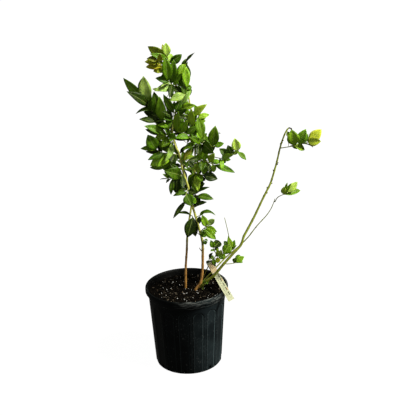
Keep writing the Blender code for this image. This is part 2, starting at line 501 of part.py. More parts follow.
def make_label():
    """A strip of sheet plastic: a long front run, a bend, and a tail that passes behind the slim cane."""
    along = (LABEL_FOOT - LABEL_TOP)
    length = along.length
    along.normalize()
    side = (LABEL_SIDE - along * LABEL_SIDE.dot(along)).normalized()
    back = along.cross(side)
    if back.z > 0:
        back.negate()
    bend = LABEL_LOOP_DEPTH / 2
    run = [(length, 0), (length * 0.6, 0), (LABEL_LOOP, 0), (0, 0)]
    turn = [(-bend * math.sin(a), bend - bend * math.cos(a)) for a in (math.pi * i / 6 for i in range(1, 6))]
    tail = [
        (0, 2 * bend), (LABEL_LOOP * 0.75, 2 * bend), (LABEL_LOOP, 1.6 * MM),
        (LABEL_LOOP + 6 * MM, 1.4 * MM)]
    shape = bmesh.new()
    verts = [
        shape.verts.new(LABEL_TOP + along * a + back * b - side * LABEL_WIDTH / 2)
        for a, b in run + turn + tail]
    edges = [shape.edges.new(pair) for pair in zip(verts, verts[1:])]
    strip = bmesh.ops.extrude_edge_only(shape, edges=edges)["geom"]
    far_edge = [item for item in strip if isinstance(item, bmesh.types.BMVert)]
    bmesh.ops.translate(shape, verts=far_edge, vec=side * LABEL_WIDTH)
    mesh = bpy.data.meshes.new("label")
    shape.to_mesh(mesh)
    shape.free()
    label = new_object("label", mesh, part)
    solid = label.modifiers.new("thickness", "SOLIDIFY")
    solid.thickness = LABEL_THICKNESS
    solid.offset = 0
    apply_modifiers(label)
    finished(label, new_material("label plastic", (0.700, 0.660, 0.480), 0.45), 30)


def make_cane(name):
    """A cane with its spurs. Its foot stands in the soil."""
    start_radius, end_radius, places, spurs = CANES[name]
    route = smooth_route([at(*place) for place in places], 32 * MM)
    sides = 1 if start_radius < 2.6 else 2
    cane = tube("cane_" + name, route, start_radius * MM, end_radius * MM, part, sides)
    joined = bpy.data.collections.new("spurs")
    bpy.context.scene.collection.children.link(joined)
    for foot, tip in spurs:
        tube("spur", [at(*foot), at(*tip)], 1.1 * MM, 0.7 * MM, joined)
    if spurs:
        boolean(cane, "UNION", joined)
    bpy.data.collections.remove(joined)
    finished(cane, new_material("bark " + name, CANE_COLOURS[name], 0.6), 50)
    return cane, (route, start_radius * MM, end_radius * MM)


def surface_tree(thing):
    mesh = thing.data
    return BVHTree.FromPolygons([v.co for v in mesh.vertices], [p.vertices for p in mesh.polygons])


def nearest_on(route, place):
    """The nearest point of a route, and how far along it that is, from 0 to 1."""
    best = min(range(len(route)), key=lambda i: (route[i] - place).length)
    return route[best], best / (len(route) - 1)


def shoot_route(cane, places):
    """The twig's route starts just clear of the cane's bark, on the side that it grows to."""
    cane_route, start_radius, end_radius = cane
    points = [at(*place) for place in places]
    dense = smooth_route(cane_route, 3 * MM)
    heart, share = nearest_on(dense, points[0])
    index = dense.index(heart)
    run = (dense[min(index + 1, len(dense) - 1)] - dense[max(index - 1, 0)]).normalized()
    out = points[1] - heart
    lean = abs(out.normalized().dot(run))
    out = (out - run * out.dot(run)).normalized()
    bark = start_radius + (end_radius - start_radius) * share
    points[0] = heart + out * (bark + GAP + TWIG_RADIUS * lean + 0.2 * MM)
    return smooth_route(points, 26 * MM)


def blade_width(u):
    """Half-width of a blueberry leaf along its rib, from 0 at the root to 0 at the tip, 1 at its widest."""
    return math.sin(math.pi * u ** 0.85) ** 0.85


def flat_blade(stations, spread):
    """A flat closed slab with a leaf's outline: x across (1 = half-width), y along the rib, z through it."""
    shape = bmesh.new()
    bmesh.ops.create_grid(shape, x_segments=2, y_segments=len(stations) - 1, size=1)
    for vert in shape.verts:
        u = stations[round((vert.co.y + 1) / 2 * (len(stations) - 1))]
        vert.co = (vert.co.x * (blade_width(u) * spread if 0 < u < 1 else 0), u, 0)
    bmesh.ops.remove_doubles(shape, verts=shape.verts, dist=0.0001)
    bmesh.ops.triangulate(shape, faces=shape.faces)
    bmesh.ops.solidify(shape, geom=shape.faces, thickness=1)
    middle = sum(vert.co.z for vert in shape.verts) / len(shape.verts)
    bmesh.ops.translate(shape, verts=shape.verts, vec=(0, 0, -middle))
    bmesh.ops.recalc_face_normals(shape, faces=shape.faces)
    bmesh.ops.triangulate(shape, faces=shape.faces)
    shape.verts.index_update()
    points = [vert.co.copy() for vert in shape.verts]
    faces = [[vert.index for vert in face.verts] for face in shape.faces]
    shape.free()
    return points, faces


def blade_size(length):
    if length < SMALL_BLADE:
        return "small"
    return "long" if length > LONG_BLADE else "short"


def leaf_frame(root, tip, turn):
    """The leaf's length, the way along its rib, across it, and up from its upper side."""
    length = (tip - root).length
    along = (tip - root) / length
    viewer = (EYE - root).normalized()
    facing = (viewer - along * viewer.dot(along)).normalized()
    sky = along.cross(facing)
    if sky.z < 0:
        sky.negate()
    normal = facing * math.cos(turn) + sky * math.sin(turn)
    return length, along, along.cross(normal), normal


def bent_blade(template, root, frame, width, arch, thickness):
    """The slab's points laid along the rib: arched up its length, its two halves folded up."""
    length, along, across, normal = frame
    points = []
    for place in template:
        u, side = place.y, place.x * width / 2
        slope = arch * 4 * (1 - 2 * u)
        through = (normal - along * slope).normalized()
        rise = arch * length * 4 * u * (1 - u) + BLADE_FOLD * abs(side)
        middle = root + along * (u * length) + across * side + normal * rise
        points.append(middle + through * (place.z * thickness))
    return points


def along_route(route, share):
    """The point at a share of a route's length, kept a little inside its end."""
    lengths = [(b - a).length for a, b in zip(route, route[1:])]
    left = min(share * sum(lengths), sum(lengths) - ROOT_SUNK)
    for start, end, length in zip(route, route[1:], lengths):
        if left <= length:
            return start.lerp(end, left / length)
        left -= length
    return route[-1]


def read_leaf_tries(row):
    """A leaf read off the photograph, then the same leaf swung nearer and farther or turned on its rib."""
    share, x, z, depth, turn = row[:5]
    width = row[5] * MM if len(row) > 5 else None
    arch = row[6] if len(row) > 6 else BLADE_ARCH
    for push, twist in LEAF_TRIES:
        yield share, at(x, z, depth + push), math.radians(turn + twist), width, arch


def far_leaf_tries(route, index, count, draw):
    """A leaf on the far side, spiralling up the twig as blueberry leaves do, two turns in five leaves."""
    share = 0.25 + 0.75 * (index + 1) / count
    root = along_route(route, share)
    spread = FAR_SPREAD * math.sin(math.radians(144 * index + 40))
    length = draw.uniform(*FAR_LENGTH)
    rise = draw.uniform(*FAR_RISE)
    for swing in (0, 20, -20, 40, -40, 60, -60, 85, -85):
        for lift in (0, 0.4, -0.4):
            aside = spread + math.radians(swing)
            way = Vector((math.sin(aside), math.cos(aside), rise + lift)).normalized()
            tip = root + way * length
            yield share, tip, upward_turn(root, way), None, FAR_ARCH


def upward_turn(root, way):
    """The turn from facing the viewer that lays a leaf's upper side to the sky."""
    viewer = (EYE - root).normalized()
    facing = (viewer - way * viewer.dot(way)).normalized()
    sky = (Vector((0, 0, 1)) - way * way.z).normalized()
    return math.acos(max(-1, min(1, facing.dot(sky))))


def make_shoot(name, twig, route, templates, obstacles, placed):
    """Fuse a twig and its leaves in one body. Each leaf takes the first place that crosses nothing."""
    rows, far_count = SHOOTS[name][2:]
    draw = random.Random(f"{SEED} {name}")
    tries = [read_leaf_tries(row) for row in rows]
    tries += [far_leaf_tries(route, i, far_count, draw) for i in range(far_count)]
    others = [tree for other, tree in obstacles.items() if other != name] + placed
    leaves = bpy.data.collections.new("leaves")
    bpy.context.scene.collection.children.link(leaves)
    own = []
    for options in tries:
        for share, tip, turn, width, arch in options:
            root = along_route(route, share)
            frame = leaf_frame(root, tip, turn)
            wide = width or frame[0] * BLADE_WIDTH
            points, faces = templates[blade_size(frame[0])]
            test = bent_blade(points, root, frame, wide + MARGIN, arch, CLEARANCE)
            if crosses(test, faces, others):
                continue
            outer = [place if (place - root).length > FREE_ROOT else root for place in test]
            if crosses(outer, faces, own):
                continue
            blade = bent_blade(points, root, frame, wide, arch, BLADE)
            mesh = bpy.data.meshes.new("leaf")
            mesh.from_pydata(blade, [], faces)
            new_object("leaf", mesh, leaves)
            own.append(BVHTree.FromPolygons(blade, faces))
            break
    placed.extend(own)
    boolean(twig, "UNION", leaves)
    bpy.data.collections.remove(leaves)
    finished(twig, new_material(name, SHOOT_COLOURS.get(name, LEAF_GREEN), 0.45), 60)


def crosses(points, faces, trees):
    test = BVHTree.FromPolygons(points, faces)
    return any(test.overlap(tree) for tree in trees)


def main():
    global part, cutters
    for thing in list(bpy.data.objects):
        bpy.data.objects.remove(thing)
    part = bpy.data.collections.new("potted blueberry bush")
    cutters = bpy.data.collections.new("cutters")
    bpy.context.scene.collection.children.link(part)
    bpy.context.scene.collection.children.link(cutters)

    make_pot()
    make_label()
    obstacles = {"label": surface_tree(bpy.data.objects["label"])}
    canes = {}
    for name in CANES:
        cane, canes[name] = make_cane(name)
        obstacles[cane.name] = surface_tree(cane)
    make_soil(canes)

    twigs = {}
    for name, (cane, places, rows, far_count) in SHOOTS.items():
        route = shoot_route(canes[cane], places)
        twigs[name] = (tube(name, route, TWIG_RADIUS, TWIG_TIP_RADIUS, part, 0), route)
        obstacles[name] = surface_tree(twigs[name][0])
    templates = {size: flat_blade(*blade) for size, blade in BLADES.items()}
    placed = []
    for name, (twig, route) in twigs.items():
        make_shoot(name, twig, route, templates, obstacles, placed)
    bpy.data.collections.remove(cutters)


main()
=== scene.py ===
import itertools
import math
import random

import bmesh
import bpy
from mathutils import Matrix, Vector, noise
from mathutils.kdtree import KDTree


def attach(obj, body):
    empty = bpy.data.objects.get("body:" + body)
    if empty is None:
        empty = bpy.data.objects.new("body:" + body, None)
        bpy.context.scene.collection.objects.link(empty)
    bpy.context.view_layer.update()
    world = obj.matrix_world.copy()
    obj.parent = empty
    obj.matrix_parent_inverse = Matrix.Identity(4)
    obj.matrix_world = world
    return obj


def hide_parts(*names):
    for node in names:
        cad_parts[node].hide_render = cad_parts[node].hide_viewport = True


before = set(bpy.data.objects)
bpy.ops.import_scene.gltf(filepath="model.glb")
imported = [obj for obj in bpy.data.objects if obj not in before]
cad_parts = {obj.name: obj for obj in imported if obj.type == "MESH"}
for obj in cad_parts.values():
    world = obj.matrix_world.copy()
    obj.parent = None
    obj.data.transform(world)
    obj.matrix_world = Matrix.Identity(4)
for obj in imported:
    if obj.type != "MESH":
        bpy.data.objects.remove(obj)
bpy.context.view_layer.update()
MM = 0.001

# %% [markdown]
# The photographer stood about a metre and a half away and looked down on the pot by eighteen degrees.
# The three angles turn the camera, and its lens is given by the size of the pot's rim in the picture.
# %% Camera
EYE = Vector((5, -1547, 939)) * MM
PITCH, YAW, ROLL = math.radians(18.49), math.radians(2.05), math.radians(-1.36)
LENS = 56.25
SENSOR = 36
FAR_CLIP = 700


def new_object(name, data):
    thing = bpy.data.objects.new(name, data)
    bpy.context.scene.collection.objects.link(thing)
    return thing


def looking(place, forward, roll=0.0):
    """The matrix of a camera or light at a place, looking along a direction."""
    forward = forward.normalized()
    right = forward.cross(Vector((0, 0, 1))).normalized()
    up = right.cross(forward)
    side = right * math.cos(roll) + up * math.sin(roll)
    top = up * math.cos(roll) - right * math.sin(roll)
    turn = Matrix((side, top, -forward)).transposed().to_4x4()
    return Matrix.Translation(place) @ turn


sight = Vector((math.sin(YAW) * math.cos(PITCH), math.cos(YAW) * math.cos(PITCH), -math.sin(PITCH)))
camera_data = bpy.data.cameras.new("camera")
camera_data.lens = LENS
camera_data.sensor_width = SENSOR
camera_data.clip_end = FAR_CLIP
camera = new_object("camera", camera_data)
camera.matrix_world = looking(EYE, sight, ROLL)
bpy.context.scene.camera = camera
print("camera at", tuple(round(v, 3) for v in EYE), "lens", LENS, "mm")

# %% [markdown]
# A product picture has a plain white ground, which photographers often light from below. So the wide pale
# floor glows a little, and shadows stay faint on it. Its glow is kept off the plant, whose darks would turn
# grey, and the world around it gives only a dim even light.
# %% Floor and world
FLOOR_HALF = 300.0
FLOOR_PALE = 0.03
FLOOR_GLOW = 0.99
WORLD_TINT = (1.0, 0.99, 0.90, 1)
WORLD_STRENGTH = 0.16


def mesh_of(shape, name):
    """The mesh of a bmesh, which is freed."""
    mesh = bpy.data.meshes.new(name)
    shape.to_mesh(mesh)
    shape.free()
    return mesh


def new_material(name, values):
    """A material whose shader has its even values set on its own sockets."""
    material = bpy.data.materials.new(name)
    material.use_nodes = True
    shader = material.node_tree.nodes["Principled BSDF"]
    for key, value in values.items():
        shader.inputs[key].default_value = value
    return material, material.node_tree, shader


floor_shape = bmesh.new()
bmesh.ops.create_grid(floor_shape, x_segments=1, y_segments=1, size=FLOOR_HALF)
floor = new_object("floor", mesh_of(floor_shape, "floor"))
floor_material, _, _ = new_material("studio floor", {
    "Roughness": 0.9, "Base Color": (FLOOR_PALE, FLOOR_PALE, FLOOR_PALE, 1), "Specular IOR Level": 0.0,
    "Emission Color": (1, 1, 1, 1), "Emission Strength": FLOOR_GLOW})
floor.data.materials.append(floor_material)
floor.visible_diffuse = False
floor.visible_glossy = False

world = bpy.data.worlds.new("studio")
world.use_nodes = True
world.node_tree.nodes["Background"].inputs["Color"].default_value = WORLD_TINT
world.node_tree.nodes["Background"].inputs["Strength"].default_value = WORLD_STRENGTH
bpy.context.scene.world = world
bpy.context.scene.view_settings.view_transform = "Standard"
print("floor", 2 * FLOOR_HALF, "m wide, glow", FLOOR_GLOW)

# %% [markdown]
# A sun from the right gives the plant its bright and its dark side, and a broad weak one in front fills
# the shade. A sun shines the same from any distance, so only its direction counts.
# %% Lamps
SUN_POWER = 7.9
SUN_TINT = (1.0, 0.97, 0.84)
FILL_POWER = 0.5
FILL_TINT = (1.0, 1.0, 0.92)
LAMP_DISTANCE = 3


def add_sun(name, azimuth, height, spread, power, colour):
    """A far lamp. Its azimuth runs from the photographer's side round to the right, in degrees."""
    data = bpy.data.lights.new(name, "SUN")
    data.energy = power
    data.angle = math.radians(spread)
    data.color = colour
    azimuth, height = math.radians(azimuth), math.radians(height)
    way = Vector((
        math.sin(azimuth) * math.cos(height), -math.cos(azimuth) * math.cos(height), math.sin(height)))
    new_object(name, data).matrix_world = looking(way * LAMP_DISTANCE, -way)
    print(name, "from", tuple(round(v, 2) for v in way))


add_sun("sun", azimuth=68, height=47, spread=14, power=SUN_POWER, colour=SUN_TINT)
add_sun("fill", azimuth=-15, height=28, spread=60, power=FILL_POWER, colour=FILL_TINT)

# %% [markdown]
# A blueberry grows several canes from the root. Their routes were read off the photograph in millimetres
# on an upright plane through the pot: x to the right, z up, and depth behind that plane. The solids were
# made from the same readings, so the finer pieces land on them.
# %% Canes as read
# A cane: its radius at the soil and at the tip in millimetres, its route, and the short spurs on it
CANES = {
    "centre": (3.8, 1.5, [
        (14, 152, -10), (22, 195, -10), (36, 216, -8), (42, 250, -4), (44, 294, 0), (44, 332, 2),
        (36, 369, 2), (27, 407, 0), (21, 431, -2), (15, 468, -4), (7, 498, -6), (0, 523, -6),
        (-7, 564, -6), (-14, 580, -5), (-19, 600, -4), (-21, 620, -2), (-17, 645, 0), (-11, 668, 2),
        (-6, 692, 4), (-6, 717, 5), (-11, 745, 4), (-19, 773, 2), (-23, 786, 0)],
        [((41, 306, 0), (35, 315, -5)), ((40, 349, 2), (32, 355, -6))]),
    "left": (3.3, 1.5, [
        (-5, 152, 8), (-3, 203, 6), (-1, 260, 8), (3.5, 310, 10), (5.5, 343, 12), (13, 395, 16),
        (19, 428, 20), (24, 462, 22), (28, 500, 22), (31, 540, 20), (32, 580, 18), (30, 620, 17),
        (26, 660, 16), (21, 700, 15), (16, 735, 14), (11, 760, 12)],
        []),
    "leaning": (4.2, 1.8, [
        (22, 152, 14), (35, 204, 6), (69, 233, -12), (99, 269, -22), (121, 294, -24), (142, 318, -24),
        (150, 341, -24), (175, 390, -22), (198, 440, -20), (219, 485, -18), (232, 532, -17),
        (241, 573, -16), (249, 598, -16), (256, 613, -16), (262, 619, -16), (267, 617, -16),
        (268, 611, -16)],
        [((219, 484, -18), (223, 490, -22)), ((232, 531, -17), (237, 533, -21))]),
    "slim": (2.4, 0.9, [
        (20, 160, 22), (32, 207, 18), (50, 228, 16), (64, 243, 14), (72, 252, 18), (82, 263, 24),
        (106, 288, 30), (132, 310, 30), (143, 320, 29), (162, 340, 26), (183, 368, 22),
        (207, 395, 18), (219, 413, 16), (226, 430, 14), (229, 440, 13)],
        []),
    "basal": (1.7, 1.0, [
        (38, 188, 72), (44, 228, 68), (52, 250, 66), (61, 269, 62), (71, 281, 54), (78, 294, 44),
        (75, 303, 38), (71, 309, 34)],
        []),
    "sprout": (1.2, 0.9, [(42, 176, -6), (42, 190, -6), (42, 202, -6), (43, 208, -6), (44, 213, -7)], []),
}
print(len(CANES), "canes")

# %% [markdown]
# Leafy shoots grow from the canes. Their twigs and leaf tips were read off the photograph in the same way.
# On the far side, which it doesn't show, only the twigs and the number of their leaves are given.
# %% Shoots as read
# A shoot: the cane that it grows from, its route, its leaves, how many more leaves the far side has, and
# a letter for the tone of each leaf.
# A leaf: its place along the twig from 0 to 1, its tip (x, z, depth), the turn of its upper side in
# degrees from facing the viewer up towards the sky, and where they aren't the usual ones, its width in
# millimetres and the arch of its rib.
SHOOTS = {
    "shoot_top": ("centre", [(-23, 782, 0), (-25, 790, -6), (-27, 797, -9)], [
        (1.00, -28, 827, -8, 5, 18), (0.85, -37, 823, 2, 55, 14), (0.70, -70, 820, -6, 15, 22),
        (0.45, -66, 803, -18, 40, 14), (0.05, 8, 800, -2, -20, 20), (0.15, -17, 802, 8, 0, 16),
        (0.55, -66, 809, 12, 10, 16)], 0, "woomdwo"),
    "shoot_red_tips": ("centre", [(-13, 752, 2), (-28, 764, -14), (-42, 778, -20), (-48, 787, -22)], [
        (1.00, -74, 792, -24, 35, 16), (0.85, -79, 785, -34, 30, 16), (0.70, -77, 773, -20, 20, 17),
        (0.50, -53, 760, -36, 20, 13), (1.00, -43, 803, -18, 30, 14), (0.20, -42, 752, -14, 20, 12),
        (0.55, -60, 763, -26, 10, 15)], 0, "uqqoqdq"),
    "shoot_front_pair": ("centre", [(-9, 726, 4), (-17, 731, -8), (-27, 741, -22)], [
        (0.98, -32, 796, -30, 8, 24), (0.55, -11, 789, -22, 0, 22), (0.80, -56, 747, -26, 40, 16, 0.12),
        (0.10, -60, 717, -34, 20, 20), (0.70, -45, 725, -40, 60, 10), (0.20, 4, 700, -12, 0, 18),
        (0.30, 6, 768, -8, 0, 16), (0.40, -25, 700, -4, 0, 15)], 0, "mmdppkbk"),
    "shoot_upper_right": ("left", [(12, 757, 12), (9, 766, 5), (12, 773, 0), (16, 779, -3)], [
        (1.00, 38, 803, -2, 55, 9), (0.97, -1, 753, -18, 15, 17), (0.80, 18, 721, -26, 5, 19),
        (0.30, 24, 735, -4, 10, 16), (0.15, 4, 722, 2, 0, 18), (0.40, 28, 718, 6, 0, 18),
        (0.60, -5, 761, -10, 10, 13)], 0, "kbbbmdd"),
    "shoot_pale": ("centre", [(-11, 665, 2), (0, 683, -14), (9, 697, -20), (13, 708, -22)], [
        (1.00, -25, 693, -34, 15, 19), (0.40, 26, 715, -30, 20, 19), (0.85, 9, 748, -18, 10, 15),
        (0.15, 37, 681, -24, 15, 18), (0.10, 20, 690, -12, 0, 16),
        (0.10, -14, 692, -14, 0, 16)], 0, "ppdbbm"),
    "shoot_left_high": ("centre", [
        (-20, 612, -2), (-38, 640, -10), (-56, 662, -14), (-72, 681, -16), (-83, 698, -16)], [
        (1.00, -131, 750, -10, -20, 21), (0.96, -84, 753, -20, 5, 28), (0.82, -125, 718, -26, 20, 22),
        (0.55, -61, 716, -30, 5, 26), (0.38, -48, 704, -24, -10, 24), (0.85, -69, 716, 0, 20, 12),
        (0.66, -107, 664, -22, 50, 13, 0.20), (0.46, -88, 669, -14, 15, 19), (0.32, -76, 653, -10, 0, 19),
        (0.18, -60, 641, -6, 0, 18), (0.60, -86, 680, -4, 0, 18), (0.70, -72, 700, 24, 10, 20)],
        0, "mpkdbbdkkmkd"),
    "shoot_left_mid": ("centre", [(-17, 592, -5), (-35, 612, -18), (-52, 630, -24), (-62, 643, -26)], [
        (1.00, -99, 651, -26, 35, 16), (0.45, -88, 634, -36, 25, 20), (0.90, -28, 627, -40, 35, 13),
        (0.35, -49, 580, -36, -20, 20), (0.10, -45, 541, -44, -30, 15, 0.16),
        (0.40, -64, 603, -18, 10, 17), (0.20, -46, 640, -26, 20, 15), (0.15, -46, 575, -12, 0, 16),
        (0.80, -74, 616, -10, 10, 15)], 1, "kmmmpbddd"),
    "shoot_left_low": ("centre", [(-8, 562, -6), (-30, 565, -18), (-50, 568, -24), (-63, 576, -26)], [
        (1.00, -81, 613, -26, -5, 29), (0.95, -100, 579, -34, 35, 15), (0.60, -84, 550, -34, 15, 14),
        (0.42, -79, 535, -24, 0, 24), (0.30, -50, 528, -14, 0, 20), (0.15, -27, 541, -30, 0, 22),
        (0.35, -64, 532, -8, 0, 18), (0.10, -36, 525, 6, 0, 20), (0.25, -60, 600, 6, 0, 18),
        (0.05, -19, 585, 12, 0, 13)], 0, "mmdlbkbmmd"),
    "shoot_left_foot": ("centre", [(3, 512, -6), (-12, 507, -20), (-26, 502, -28), (-35, 498, -32)], [
        (0.12, -43, 521, -40, 0, 30), (0.95, -50, 514, -34, 40, 8), (1.00, -57, 500, -34, 75, 7),
        (0.80, -42, 490, -42, 60, 9), (0.45, -18, 463, -42, -10, 24), (0.70, -31, 459, -34, 15, 12, 0.10),
        (0.30, -32, 476, -14, 0, 18), (0.20, -6, 476, -30, -10, 19),
        (0.05, -3, 473, -10, 0, 15), (0.03, -33, 542, -12, 0, 13)], 0, "dbddkdmdkd"),
    "shoot_low_hanging": ("centre", [(13, 474, -4), (9, 466, -16), (5, 454, -24), (7, 441, -28)], [
        (0.45, 20, 428, -34, 0, 28), (0.95, -28, 397, -34, 30, 13, 0.0), (0.30, -26, 456, -24, 30, 12),
        (0.10, -22, 471, -14, 30, 12), (0.70, 32, 436, -26, 20, 18), (0.15, 30, 462, -20, 0, 19),
        (0.30, 1, 439, -18, 0, 15)], 0, "dkdkmkd"),
    "shoot_left_cane_low": ("left", [(15, 404, 16), (20, 402, 4), (22, 397, -6)], [
        (0.95, 6, 344, -14, 0, 28), (0.75, 27, 346, -4, -10, 22), (0.20, -15, 410, 2, 55, 12, 0.13)],
        0, "kkd"),
    "shoot_dark_low": ("left", [(20, 432, 20), (25, 429, 8), (30, 427, 2)], [
        (1.00, 58, 437, -8, 35, 12, 0.10), (0.20, 34, 428, -4, 10, 12)], 0, "dk"),
    "shoot_right_low": ("left", [(24, 460, 22), (29, 459, 8), (33, 453, -4)], [
        (1.00, 75, 444, -10, 25, 18), (0.90, 34, 432, -14, 0, 18),
        (0.50, 28, 493, -2, 0, 17), (0.08, 66, 476, 4, 50, 12), (0.30, 31, 446, 8, 0, 14),
        (0.20, 54, 487, 8, 20, 13)], 0, "dkbmdd"),
    "shoot_right_bright": ("left", [(29, 513, 22), (34, 512, 10), (43, 509, 0), (50, 507, -8)], [
        (0.30, 37, 465, -8, -12, 17), (0.40, 47, 490, -18, 15, 16), (1.00, 86, 496, -10, 10, 22),
        (0.95, 60, 532, -10, 20, 14), (0.20, 18, 478, -2, 0, 18), (0.06, 12, 490, 16, 0, 17)], 0, "lmkbdb"),
    "shoot_right_mid": ("left", [(31, 543, 20), (48, 545, 8), (66, 538, -2), (80, 531, -6)], [
        (1.00, 129, 511, -10, 25, 16, 0.02), (0.85, 77, 514, -2, 20, 15), (0.60, 66, 512, -20, 30, 13),
        (0.70, 80, 562, -12, 15, 18), (0.35, 47, 517, -20, 0, 19), (0.45, 55, 577, -12, 0, 18),
        (0.15, 44, 566, -6, 10, 16), (0.55, 70, 506, -12, 0, 14), (0.10, 37, 510, -4, 0, 17),
        (0.50, 55, 508, 6, 0, 17), (0.80, 92, 541, 24, 20, 14)], 0, "mlkldbbdldm"),
    "shoot_right_branch": ("left", [
        (32, 562, 19), (52, 560, 10), (76, 553, 0), (98, 548, -6), (113, 549, -8), (126, 557, -10),
        (136, 565, -10)], [
        (1.00, 129, 598, -14, 5, 22), (1.00, 157, 542, -16, 30, 13, 0.04), (0.84, 112, 581, -16, 5, 18),
        (0.78, 91, 573, -14, 15, 18), (0.55, 98, 520, -10, 30, 13), (0.70, 101, 537, -8, 20, 12),
        (0.60, 127, 557, -6, 10, 14)], 0, "wmddbbl"),
    "shoot_right_dark": ("left", [
        (31, 592, 18), (52, 589, 6), (70, 581, -4), (79, 578, -8), (90, 581, -10)], [
        (0.75, 83, 630, -12, 5, 26), (0.80, 103, 586, -10, 15, 14), (0.32, 78, 562, -24, 0, 28),
        (0.04, 2, 572, -4, 20, 13), (0.45, 54, 552, -28, -5, 24), (0.55, 48, 610, -16, 20, 18),
        (0.15, 39, 557, 2, 0, 20), (0.55, 78, 569, 8, 0, 17), (0.65, 66, 602, 26, 20, 20)], 0, "mmdbddkdd"),
    "shoot_right_lime": ("left", [(29, 635, 17), (36, 645, 6), (43, 653, -2), (46, 660, -5)], [
        (0.70, 51, 598, -18, 5, 23), (0.60, 69, 657, -18, 25, 14), (0.20, 60, 642, -4, 10, 14),
        (1.00, 33, 681, -16, 10, 16), (0.40, 22, 668, -20, 20, 16),
        (0.30, 38, 614, -26, 0, 17), (0.15, 58, 624, -4, 5, 19), (0.80, 40, 677, -4, 10, 15),
        (0.10, 42, 590, -4, 0, 18)], 0, "mlbbbmlbb"),
    "shoot_inner": ("centre", [(-20, 614, -3), (-6, 617, -18), (10, 612, -28), (22, 602, -32)], [
        (1.00, -16, 603, -44, 30, 15, 0.08), (0.97, 47, 589, -38, 10, 15), (0.45, 16, 645, -40, 5, 19),
        (0.75, 38, 628, -34, 15, 16), (0.25, -12, 655, -30, 0, 16),
        (0.35, 4, 652, -20, 10, 17), (0.10, -30, 594, -12, 0, 15),
        (0.30, -5, 668, -34, 0, 18), (0.90, -16, 598, -34, 60, 12, 0.20)], 0, "mmbdddmbd"),
    "shoot_mid_left": ("centre", [(-18, 640, -1), (-20, 650, -14), (-17, 661, -24), (-12, 668, -28)], [
        (0.85, -39, 709, -34, -10, 17), (0.60, 12, 652, -38, 20, 16), (0.50, -44, 668, -30, 25, 15),
        (1.00, 2, 694, -34, 0, 17), (0.35, -36, 632, -28, 10, 16), (0.30, 4, 634, -24, 0, 16),
        (0.95, 16, 673, -24, 0, 17), (0.40, -41, 650, -12, 0, 16)], 0, "dkkdmmdd"),
    "shoot_mid_right": ("left", [(31, 606, 18), (30, 618, 4), (27, 636, -10), (29, 655, -18)], [
        (1.00, 64, 682, -20, 25, 17), (0.55, 27, 673, -24, 5, 18), (0.45, 6, 650, -12, 10, 17),
        (0.25, 27, 586, -6, 0, 17), (0.45, 30, 598, -20, 0, 16)], 0, "llkbm"),
    "shoot_gap": ("centre", [(-3, 541, -6), (3, 545, -18), (9, 546, -26), (15, 543, -30)], [
        (0.60, 29, 557, -32, 50, 12), (1.00, 28, 528, -34, 10, 14), (0.90, 40, 550, -26, 5, 16),
        (0.40, 24, 572, -18, 20, 13), (0.30, 30, 581, -6, 0, 17), (0.10, 3, 570, 8, 0, 13)], 0, "lkkudl"),
    "shoot_curl": ("centre", [(44, 331, 1), (47, 335, -6), (50, 336, -9)], [
        (1.00, 53, 323, -12, 0, 11), (0.90, 58, 334, -10, 20, 7)], 0, "md"),
    "shoot_green_low": ("centre", [(39, 360, 2), (47, 366, -8), (54, 371, -14), (59, 374, -16)], [
        (0.80, 45, 404, -20, 10, 17), (1.00, 76, 391, -20, 165, 15), (0.55, 79, 336, -20, 0, 18),
        (0.75, 82, 356, -16, 20, 14), (0.30, 53, 353, -20, 30, 14), (0.10, 52, 343, -8, 0, 17)],
        0, "blbmdm"),
    "shoot_arched": ("centre", [(29, 400, 0), (36, 401, -8), (41, 402, -12)], [
        (0.95, 79, 401, -18, 56, 14, 0.27), (0.85, 38, 380, -18, 20, 12)], 0, "dk"),
    "shoot_basal_pair": ("basal", [(74, 305, 37), (72, 310, 30), (71, 314, 26)], [
        (0.95, 65, 335, 22, 10, 14), (1.00, 89, 330, 20, 5, 21), (0.10, 64, 304, 20, 50, 9),
        (0.50, 85, 311, 24, 0, 13)], 0, "mkdd"),
    "shoot_basal_tuft": ("basal", [(76, 290, 43), (82, 289, 36), (88, 290, 32)], [
        (1.00, 92, 307, 28, 0, 14), (0.90, 103, 286, 30, 15, 15), (0.50, 82, 270, 34, 10, 13),
        (0.30, 82, 311, 36, 0, 12)], 0, "wmql"),
    "shoot_basal_foot": ("basal", [(64, 273, 60), (60, 279, 54), (60, 286, 50)], [
        (0.60, 55, 270, 48, 0, 10), (1.00, 70, 300, 44, 30, 9), (0.90, 73, 285, 42, 15, 12),
        (0.30, 78, 262, 46, 0, 14)], 0, "mkdk"),
    "shoot_sprout": ("sprout", [(43, 209, -6), (47, 212, -11), (48, 214, -14)], [
        (1.00, 45, 223, -16, 10, 8), (0.80, 57, 216, -18, 20, 7)], 0, "kd"),
    "shoot_slim_pair": ("slim", [
        (118, 299, 30), (117, 311, 22), (113, 335, 18), (108, 364, 16), (101.5, 394, 14)], [
        (0.28, 98, 294, 12, 0, 25), (0.10, 110, 344, 10, 10, 14), (0.05, 127, 333, 26, 0, 13),
        (0.06, 132, 318, 22, 50, 8)], 0, "mbmm"),
    "shoot_leaning_low": ("leaning", [(101, 270, -22), (111, 267, -28), (122, 268, -30), (131, 270, -30)], [
        (1.00, 151, 286, -30, 15, 16), (0.70, 131, 283, -30, 20, 12), (0.90, 139, 291, -34, 0, 14),
        (0.80, 147, 271, -50, 15, 13)], 0, "bddm"),
    "shoot_leaning_top": ("leaning", [
        (242, 571, -16), (262, 572, -22), (280, 575, -24), (297, 580, -24), (312, 582, -24)], [
        (0.47, 268, 615, -26, 0, 29), (0.62, 303, 615, -26, 5, 23), (1.00, 341, 613, -22, 0, 25),
        (0.85, 309, 603, -32, 10, 9), (0.45, 301, 563, -32, 35, 19), (0.95, 341, 583, -30, 10, 22)],
        2, "bbywby"),
